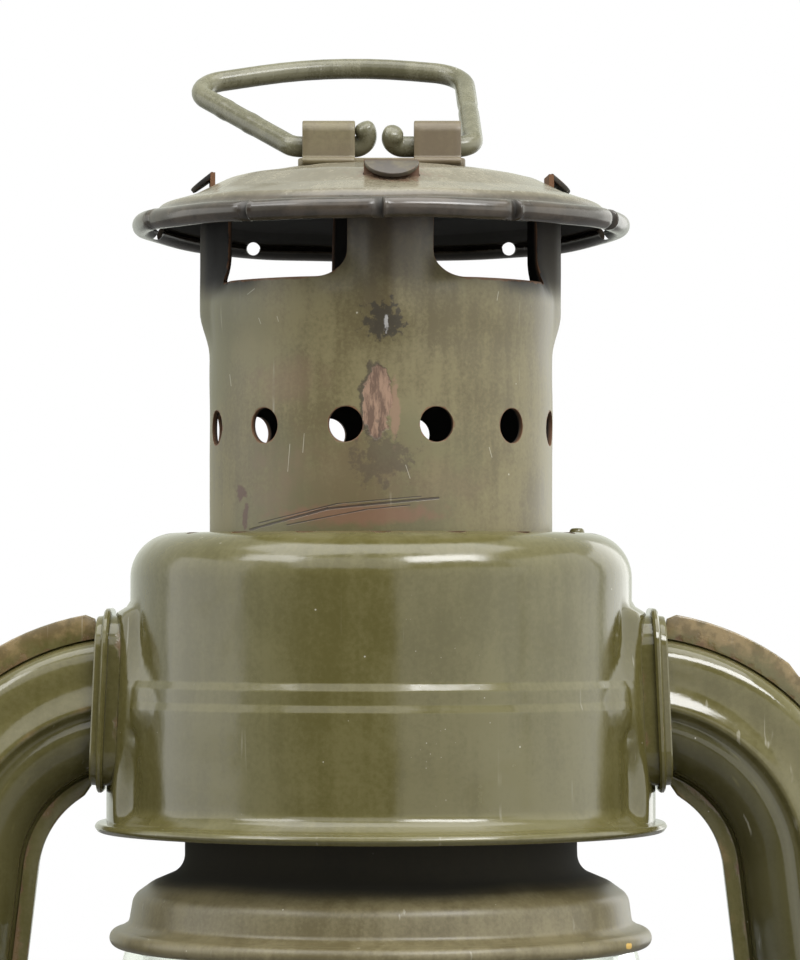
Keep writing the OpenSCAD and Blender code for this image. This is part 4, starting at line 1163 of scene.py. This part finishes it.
def tube_stations(step=1.5):
    """Places along a tube as rows of x, height, angle and length from the drum."""
    rows = []

    def bend(c, r, start, end):
        n = max(2, math.ceil(abs(math.radians(end - start)) * r / step))
        for a in np.linspace(start, end, n + 1):
            rows.append((c[0] + r * math.cos(math.radians(a)), c[1] + r * math.sin(math.radians(a)), a))

    bend(TOP_BEND, TOP_BEND_R, 90, SPLAY)
    end = (BOW[0] + BOW_R * math.cos(math.radians(SPLAY)), BOW[1] + BOW_R * math.sin(math.radians(SPLAY)))
    start = rows[-1]
    for k in np.linspace(0, 1, 26)[1:-1]:
        rows.append((start[0] + (end[0] - start[0]) * k, start[1] + (end[1] - start[1]) * k, SPLAY))
    bend(BOW, BOW_R, SPLAY, -BOW_IN)
    bend(LOW_BEND, LOW_BEND_R, -BOW_IN, -90)
    for x in np.linspace(LOW_BEND[0], BOX_R - 4, 12)[1:]:
        rows.append((x, LOW_TUBE_Z, -90))
    rows = np.array(rows)
    keep = np.r_[True, np.hypot(*np.diff(rows[:, :2], axis=0).T) > 0.2]
    rows = rows[keep]
    length = np.r_[0, np.cumsum(np.hypot(*np.diff(rows[:, :2], axis=0).T))]
    return np.column_stack([rows, length])


def lobe_line():
    """Outside of a pressed half from its upper to its lower foot: lobe, bead, groove, lobe."""
    return np.vstack([[(LOBE_TOP + 0.12, SHEET + 0.25)], flowing(HALF_LINE), [(LOBE_LOW - 0.12, SHEET + 0.25)]])


def half_section(front, up, low):
    """Closed section of a tube half for the reach of its upper and lower seams."""
    lobes = lobe_line()
    if front:
        line = np.vstack([[(up, SHEET)], [(LOBE_TOP + 0.5, SHEET)], lobes, [(LOBE_LOW - 0.5, SHEET)], [(-low, SHEET)]])
        return np.vstack([line, shifted(line, -SHEET * 0.92)[::-1]])
    back = lobes * (1, -1)
    u, v, f = up + SHEET, -low - SHEET, 2 * SHEET
    top = [(LOBE_TOP + 0.35, f), (u - 0.3, f), (u - 0.05, f - 0.12), (u + 0.02, f - 0.4), (u + 0.02, -SHEET + 0.3),
           (u - 0.08, -SHEET + 0.06), (u - 0.35, -SHEET), (LOBE_TOP + 0.5, -SHEET)]
    foot = [(LOBE_LOW - 0.5, -SHEET), (v + 0.35, -SHEET), (v + 0.08, -SHEET + 0.06), (v - 0.02, -SHEET + 0.3),
            (v - 0.02, f - 0.4), (v + 0.05, f - 0.12), (v + 0.3, f), (LOBE_LOW - 0.35, f)]
    line = np.vstack([top, back, foot])
    return np.vstack([line, shifted(line, SHEET * 0.9)[::-1]])


class LANTERN_OT_side_tubes(bpy.types.Operator):
    """Pressed halves of both side tubes with their folded seams"""
    bl_idname = "lantern.side_tubes"
    bl_label = "Side tubes"

    def execute(self, context):
        rows = tube_stations()
        start = math.asin((NECK_X + 2.3 - TOP_BEND[0]) / (TOP_BEND_R + SEAM_N)) * TOP_BEND_R
        stop = rows[-1, 3] - 5.6
        near_ends = np.r_[start + np.array((-0.1, 0.1, 0.5, 1.1, 1.8)), stop + np.array((-0.6, -0.1, 0.1))]
        length = np.unique(np.r_[rows[:, 3], near_ends])
        rows = np.column_stack([np.interp(length, rows[:, 3], rows[:, k]) for k in range(3)] + [length])
        for hand, side in ((-1, "left"), (1, "right")):
            for front in (True, False):
                rings, seam, grime_and_painted_shade = [], [], []
                for x, z, a, at in rows:
                    full = 0.72 * float(at > start) + 0.28 * float(ease(start, start + 1.0, at))
                    full *= float(at < stop)
                    low_full = 0.62 * float(ease(8.3, 14.0, at)) * float(at < stop)
                    notch = math.exp(-((a - 48.6) / 1.5) ** 2) if hand > 0 and at < 60 else 0.0
                    up = LOBE_TOP + 0.45 + (SEAM_N - LOBE_TOP - 0.45) * full * (1 - 0.55 * notch)
                    low = -LOBE_LOW + 0.45 + (SEAM_N + LOBE_LOW - 0.45) * low_full
                    sec = half_section(front, up, low)
                    w = math.radians(a)
                    rings.append(np.column_stack([hand * (x + sec[:, 0] * math.cos(w)), -sec[:, 1],
                                                  z + sec[:, 0] * math.sin(w)]))
                    fold = np.maximum(ease(LOBE_TOP + 0.1, LOBE_TOP + 0.6, sec[:, 0]),
                                      0.55 * ease(LOBE_LOW - 0.1, LOBE_LOW - 0.6, sec[:, 0]))
                    bead = 0.42 * np.exp(-((sec[:, 0] - BEAD_N) / 0.7) ** 2) if hand < 0 and at < 70 else 0.0
                    seam.append(np.maximum(fold * (0.66 if hand > 0 or at < start + 14 else 0.5), bead))
                    # Painted shade on the lower lobes, full on the right tube and half on the left.
                    grime_and_painted_shade.append(ease(-1.2, -2.4, sec[:, 0]) * ease(-9.8, -9.2, sec[:, 0]) * (1.0 if hand > 0 else 0.5))
                name = "tube_%s_%s" % (side, "front" if front else "back")
                verts = np.vstack(rings)
                piece = loft(name + "_half", rings)
                for key, values in (("seam", seam), ("grime_and_painted_shade", grime_and_painted_shade)):
                    near = {tuple(np.round(v, 3)): q for v, q in zip(verts, np.concatenate(values))}
                    store(piece, key, [near.get(tuple(np.round(v, 3)), 0.0) for v in points_of(piece)])
                fit(piece, "frame", "olive_paint", "tube_enamel", name, sharp=50.0)
        return {"FINISHED"}


class LANTERN_OT_globe(bpy.types.Operator):
    """Cap over the globe, the glass globe and the hood spring"""
    bl_idname = "lantern.globe"
    bl_label = "Globe and cap"

    def execute(self, context):
        s = sizes()
        t = s.sheet / MM
        z = CAP_Z
        line = [(CHIMNEY_R + 0.05, NECK_TOP), (CAP_NECK_R, NECK_TOP), (CAP_NECK_R, z + 1.4), (32.6, z - 0.55),
                (35.3, z - 2.5), (35.85, z - 6.2), (37.1, z - 7.15)]
        wall = rounded(line, [0, 1.0, 3.0, 4.0, 2.4, 1.1, 0], 6.0)
        path = dense(distinct(np.vstack([wall[:-1], arc((37.35, z - 8.45), 1.3, 92, -140, 20)])), 0.9)

        def shape(p):
            return swollen(p, (s.dent / MM) * 1.5 * waves(polar(p)[0], p[:, 2], 5.2) * (p[:, 2] < z + 4))

        cap = lathe("cap_bell", sheet_section(path, t), s.turns, shape)
        p = points_of(cap)
        # The neck above the shoulder is painted near-black: painted shadow under the drum's lip, with the neck's own
        # dark paint.
        store(cap, "soot_and_painted_shade", ease(z - 1.4, z + 0.6, p[:, 2] + 0.5 * waves(polar(p)[0], p[:, 2], 2.2)))
        fit(cap, "hood", "cap_paint", "cap_enamel", "globe_cap")

        mid, high = (GLOBE_Z + GLOBE_TOP) / 2, (GLOBE_TOP - GLOBE_Z) / 2 / math.sin(math.radians(80))
        phi = np.radians(np.linspace(80, -80, 81))
        skin = np.column_stack([GLOBE_END_R + (GLOBE_R - GLOBE_END_R) * np.cos(phi) ** 0.85, mid + high * np.sin(phi)])
        glass = lathe("globe_glass", sheet_section(skin, GLASS_T, 0.0), s.turns)
        fit(glass, "globe_carrier", "glass", "clear_glass", "globe", sharp=50.0)

        turn = np.linspace(0, SPRING_TURNS * 2 * math.pi, SPRING_TURNS * 48 + 1)
        coil = np.column_stack([SPRING_R * np.cos(turn), SPRING_R * np.sin(turn),
                                np.linspace(SPRING_LOW, SPRING_HIGH, len(turn))])
        spring = loft("spring_coil", wire_rings(coil, 0.58, 12))
        fit(spring, "frame", "spring_steel", "spring_steel", "hood_spring")
        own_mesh(spring)
        return {"FINISHED"}


class LANTERN_OT_tank(bpy.types.Operator):
    """Tank with its folded foot, the air box over it and the filler"""
    bl_idname = "lantern.tank"
    bl_label = "Tank"

    def execute(self, context):
        s = sizes()
        t = s.sheet / MM
        wall = rounded([(11.0, TANK_H), (30.0, TANK_H), (31.5, TANK_H - 0.55), (33.0, TANK_H), (TANK_R, TANK_H),
                        (TANK_R, 1.8)], [0, 1.6, 1.6, 1.6, SHOULDER_R, 0], 5.0)

        def dents(p):
            return swollen(p, (s.dent / MM) * 1.6 * waves(polar(p)[0], p[:, 2], 6.1) * ease(5, 9, p[:, 2]))

        tank = lathe("tank_body", sheet_section(dense(wall, 1.3), t), s.turns, dents)
        fill = -38.0 * math.sin(math.radians(45))
        cut(tank, [rod((fill, fill, TANK_H - 3), (0, 0, 1), 7.5, 6.0, 40)])
        fit(tank, "frame", "olive_paint", "olive_enamel", "tank_shell")

        floor = rounded([(0.0, 0.0), (20, 0), (24, 2), (38, 2), (42, 0), (TANK_R + t, 0.0), (TANK_R + t, 4.0)],
                        [0, 2, 2, 2, 2, 1.5, 0], 8.0)
        bottom = lathe("tank_floor", sheet_section(dense(floor, 1.3), -t), s.turns)
        fit(bottom, "frame", "olive_paint", "olive_enamel", "tank_bottom")

        path = rounded([(22.0, BOX_TOP), (BOX_R, BOX_TOP), (BOX_R, TANK_H + 1.2), (BOX_R + 1.6, TANK_H + 0.72)],
                       [0, 1.5, 1.0, 0], 8.0)
        box = lathe("air_box_shell", sheet_section(dense(path, 1.1), t), s.turns)
        lobes = lobe_line()[1:-1]
        up, across = np.vstack([lobes, (lobes * (1, -1))[::-1]]).T
        cutters = [loft("mouth", [np.column_stack([np.full(len(up), side * x), across, LOW_TUBE_Z - up])
                                  for x in (20.0, 32.0)]) for side in (-1, 1)]
        cutters.append(rod((-4.9, -20, 41.0), (0, -1, 0), 1.06, 12.0, 24))
        for i in range(10):
            a = math.radians(180 + 38 + 26 * (i % 5)) + math.pi * (i // 5)
            if abs(math.cos(a) + 0.18) > 0.12 or math.sin(a) > 0:
                cutters.append(drill(a, 22, 51.0, 1.3, 10, 20))
        fit(cut(box, cutters), "frame", "olive_paint", "olive_enamel", "air_box")
        for node, finish in (("filler_neck", "olive_enamel"), ("filler_cap", "olive_enamel"),
                             ("filler_gasket", "gasket_rubber")):
            dress(node, finish)
        return {"FINISHED"}


class LANTERN_OT_burner(bpy.types.Operator):
    """Brass burner with its wick and knob"""
    bl_idname = "lantern.burner"
    bl_label = "Burner"

    def execute(self, context):
        s = sizes()
        dome = rounded([(0.0, CONE_TOP), (8.0, CONE_TOP), (CONE_R, CONE_TOP - 6.5), (CONE_R, GALLERY_Z)],
                       [0, 5.0, 8.0, 0], 5.0)
        cone = lathe("burner_dome", sheet_section(dense(dome, 0.9), 0.5), s.turns)
        slot = rounded([(0, -7.5), (2.6, -7.5), (2.6, 7.5), (-2.6, 7.5), (-2.6, -7.5), (0, -7.5)],
                       [0, 2.3, 2.3, 2.3, 2.3, 0])[:-1]
        cutters = [loft("slot", [np.column_stack([slot, np.full(len(slot), z)]) for z in (CONE_TOP - 4, CONE_TOP + 3)])]
        for i in range(20):
            cutters.append(drill(math.radians(18 * i + 9), 14, GALLERY_Z + 4.5, 0.9, 8, 16))
        fit(cut(cone, cutters), "frame", "brass", "dull_brass", "burner_cone")
        for node in ("burner_base", "wick_tube", "wick_shaft", "wick_knob"):
            dress(node, "dull_brass")
        dress("wick", "wick_cotton")
        return {"FINISHED"}


class LANTERN_OT_wires(bpy.types.Operator):
    """Bail, ears, globe seat and guard, and the globe lever"""
    bl_idname = "lantern.wires"
    bl_label = "Wires and seat"

    def execute(self, context):
        for node in ("bail", "globe_guard", "lift_lever"):
            dress(node, "wire_enamel")
        for node in ("bail_ear_left", "bail_ear_right", "lever_bracket", "globe_seat"):
            dress(node, "tube_enamel")
        return {"FINISHED"}


# Each lamp: its name, the setting and share that give its power, its place and its size, in metres
LAMPS = (("key", "key", 1.0, (0.36, -0.535, 0.795), (0.50, 0.22)),
         ("fill", "fill", 1.0, (-0.60, -0.35, 0.795), (0.42, 0.22)),
         ("overhead", "top", 1.0, (0.0, -0.15, 1.02), (1.3, 0.65)),
         ("left", "side", 1.0, (-0.85, -0.03, 0.38), (0.8, 0.6)),
         ("front", "side", 0.66, (0.44, -0.607, 0.27), (0.85, 0.4)),
         ("wash", "side", 1.0, (-0.20, -0.72, 0.72), (0.9, 0.42)),
         ("right", "side", 1.4, (0.92, 0.02, 0.42), (0.9, 0.8)),
         ("rim", "side", 1.1, (0.62, 0.72, 0.28), (0.6, 0.8)))
LAMPS_AIM = Vector((0, 0, 0.17))
CAMERA_SHIFT = (0.0198, 0.1094)


class LANTERN_OT_studio(bpy.types.Operator):
    """Camera, soft lamps, white surroundings and a pale floor"""
    bl_idname = "lantern.studio"
    bl_label = "Studio"

    def execute(self, context):
        scene, st = context.scene, context.scene.lantern_studio
        cam = bpy.data.objects.new("camera", bpy.data.cameras.new("camera"))
        scene.collection.objects.link(cam)
        cam.location = (0.0, -st.distance, st.height)
        cam.rotation_euler = (math.radians(90), 0, 0)
        cam.data.lens, cam.data.sensor_width = st.lens, 36.0
        cam.data.shift_x, cam.data.shift_y = CAMERA_SHIFT
        scene.camera = cam
        scene.view_settings.view_transform = "Standard"

        powers = {"key": st.key, "fill": st.fill, "top": st.top, "side": st.side}
        for name, setting, share, where, size in LAMPS:
            lamp = bpy.data.lights.new(name, "AREA")
            lamp.shape, lamp.size, lamp.size_y = "RECTANGLE", *size
            lamp.energy = powers[setting] * share
            holder = bpy.data.objects.new(name, lamp)
            scene.collection.objects.link(holder)
            holder.location = where
            holder.rotation_euler = (LAMPS_AIM - Vector(where)).to_track_quat("-Z", "Y").to_euler()

        world = bpy.data.worlds.new("studio")
        scene.world = world
        world.use_nodes = True
        t = world.node_tree
        sky = t.nodes["Background"]
        ray = place(t, "ShaderNodeLightPath").outputs
        y = place(t, "ShaderNodeSeparateXYZ", {0: place(t, "ShaderNodeTexCoord").outputs["Generated"]}).outputs[1]
        shine = span(t, y, -0.95, -0.45, 0.10, 1.0)
        seen = calc(t, "ADD", ray["Is Camera Ray"], ray["Is Transmission Ray"], True)
        level = place(t, "ShaderNodeMix", {0: ray["Is Glossy Ray"], 2: st.sky, 3: shine}, data_type="FLOAT").outputs[0]
        level = place(t, "ShaderNodeMix", {0: seen, 2: level, 3: 1.0}, data_type="FLOAT").outputs[0]
        plug(t, sky.inputs["Color"], blend(t, ray["Is Glossy Ray"], (1, 1, 1), (0.96, 1.0, 0.90)))
        plug(t, sky.inputs["Strength"], level)

        w = np.arange(96) * math.pi / 48
        rings = [np.column_stack([r * np.cos(w), r * np.sin(w), np.zeros(96)]) for r in (0.001, 200, 420, 700, 1000)]
        faces = grid_faces(5, 96, False)
        floor = new_piece("floor", np.vstack(rings) - (0, 0, 0.05), faces)
        made, t, skin = material("pale_floor")
        far = vector(t, "LENGTH", spot(t), out="Value")
        grain = noise(t, spot(t), 60.0, 3.0)
        tone = tuple(st.floor)
        clear = place(t, "ShaderNodeLightPath").outputs["Is Camera Ray"]
        pale = blend(t, times(t, grain, 0.3), tone, (0.78, 0.78, 0.77))
        plug(t, skin.inputs["Base Color"], blend(t, clear, (0.24, 0.24, 0.24), pale))
        skin.inputs["Roughness"].default_value = 0.8
        glow = place(t, "ShaderNodeEmission", {"Color": (1, 1, 1), "Strength": 1.0})
        mix = place(t, "ShaderNodeMixShader", {0: span(t, far, 0.22, 0.62), 1: skin.outputs[0], 2: glow.outputs[0]})
        both = place(t, "ShaderNodeMixShader", {0: clear, 1: skin.outputs[0], 2: mix.outputs[0]})
        t.links.new(both.outputs[0], t.nodes["Material Output"].inputs["Surface"])
        floor.data.materials.append(made)
        return {"FINISHED"}


STEPS = (LANTERN_OT_pull_ring, LANTERN_OT_canopy, LANTERN_OT_chimney, LANTERN_OT_air_chamber, LANTERN_OT_side_tubes,
         LANTERN_OT_globe, LANTERN_OT_tank, LANTERN_OT_burner, LANTERN_OT_wires, LANTERN_OT_studio)


class LANTERN_PT_panel(bpy.types.Panel):
    """Lists the lantern's pieces, sizes and colours"""
    bl_idname = "LANTERN_PT_panel"
    bl_label = "Hurricane lantern"
    bl_space_type = "VIEW_3D"
    bl_region_type = "UI"
    bl_category = "Lantern"

    def draw(self, context):
        for group in (context.scene.lantern_sizes, context.scene.lantern_colours, context.scene.lantern_studio):
            box = self.layout.box()
            for key in group.__annotations__:
                box.prop(group, key)
        for step in STEPS:
            self.layout.operator(step.bl_idname)


CLASSES = (LanternSizes, LanternColours, LanternStudio, *STEPS, LANTERN_PT_panel)


def register():
    """Registers the classes and the settings on the scene."""
    for c in CLASSES:
        bpy.utils.register_class(c)
    bpy.types.Scene.lantern_sizes = PointerProperty(type=LanternSizes)
    bpy.types.Scene.lantern_colours = PointerProperty(type=LanternColours)
    bpy.types.Scene.lantern_studio = PointerProperty(type=LanternStudio)


def unregister():
    """Takes the settings and classes away again."""
    del bpy.types.Scene.lantern_studio, bpy.types.Scene.lantern_colours, bpy.types.Scene.lantern_sizes
    for c in reversed(CLASSES):
        bpy.utils.unregister_class(c)


def main():
    """Builds every piece in order."""
    register()
    for step in STEPS:
        area, verb = step.bl_idname.split(".")
        getattr(getattr(bpy.ops, area), verb)()


if __name__ == "__main__":
    main()
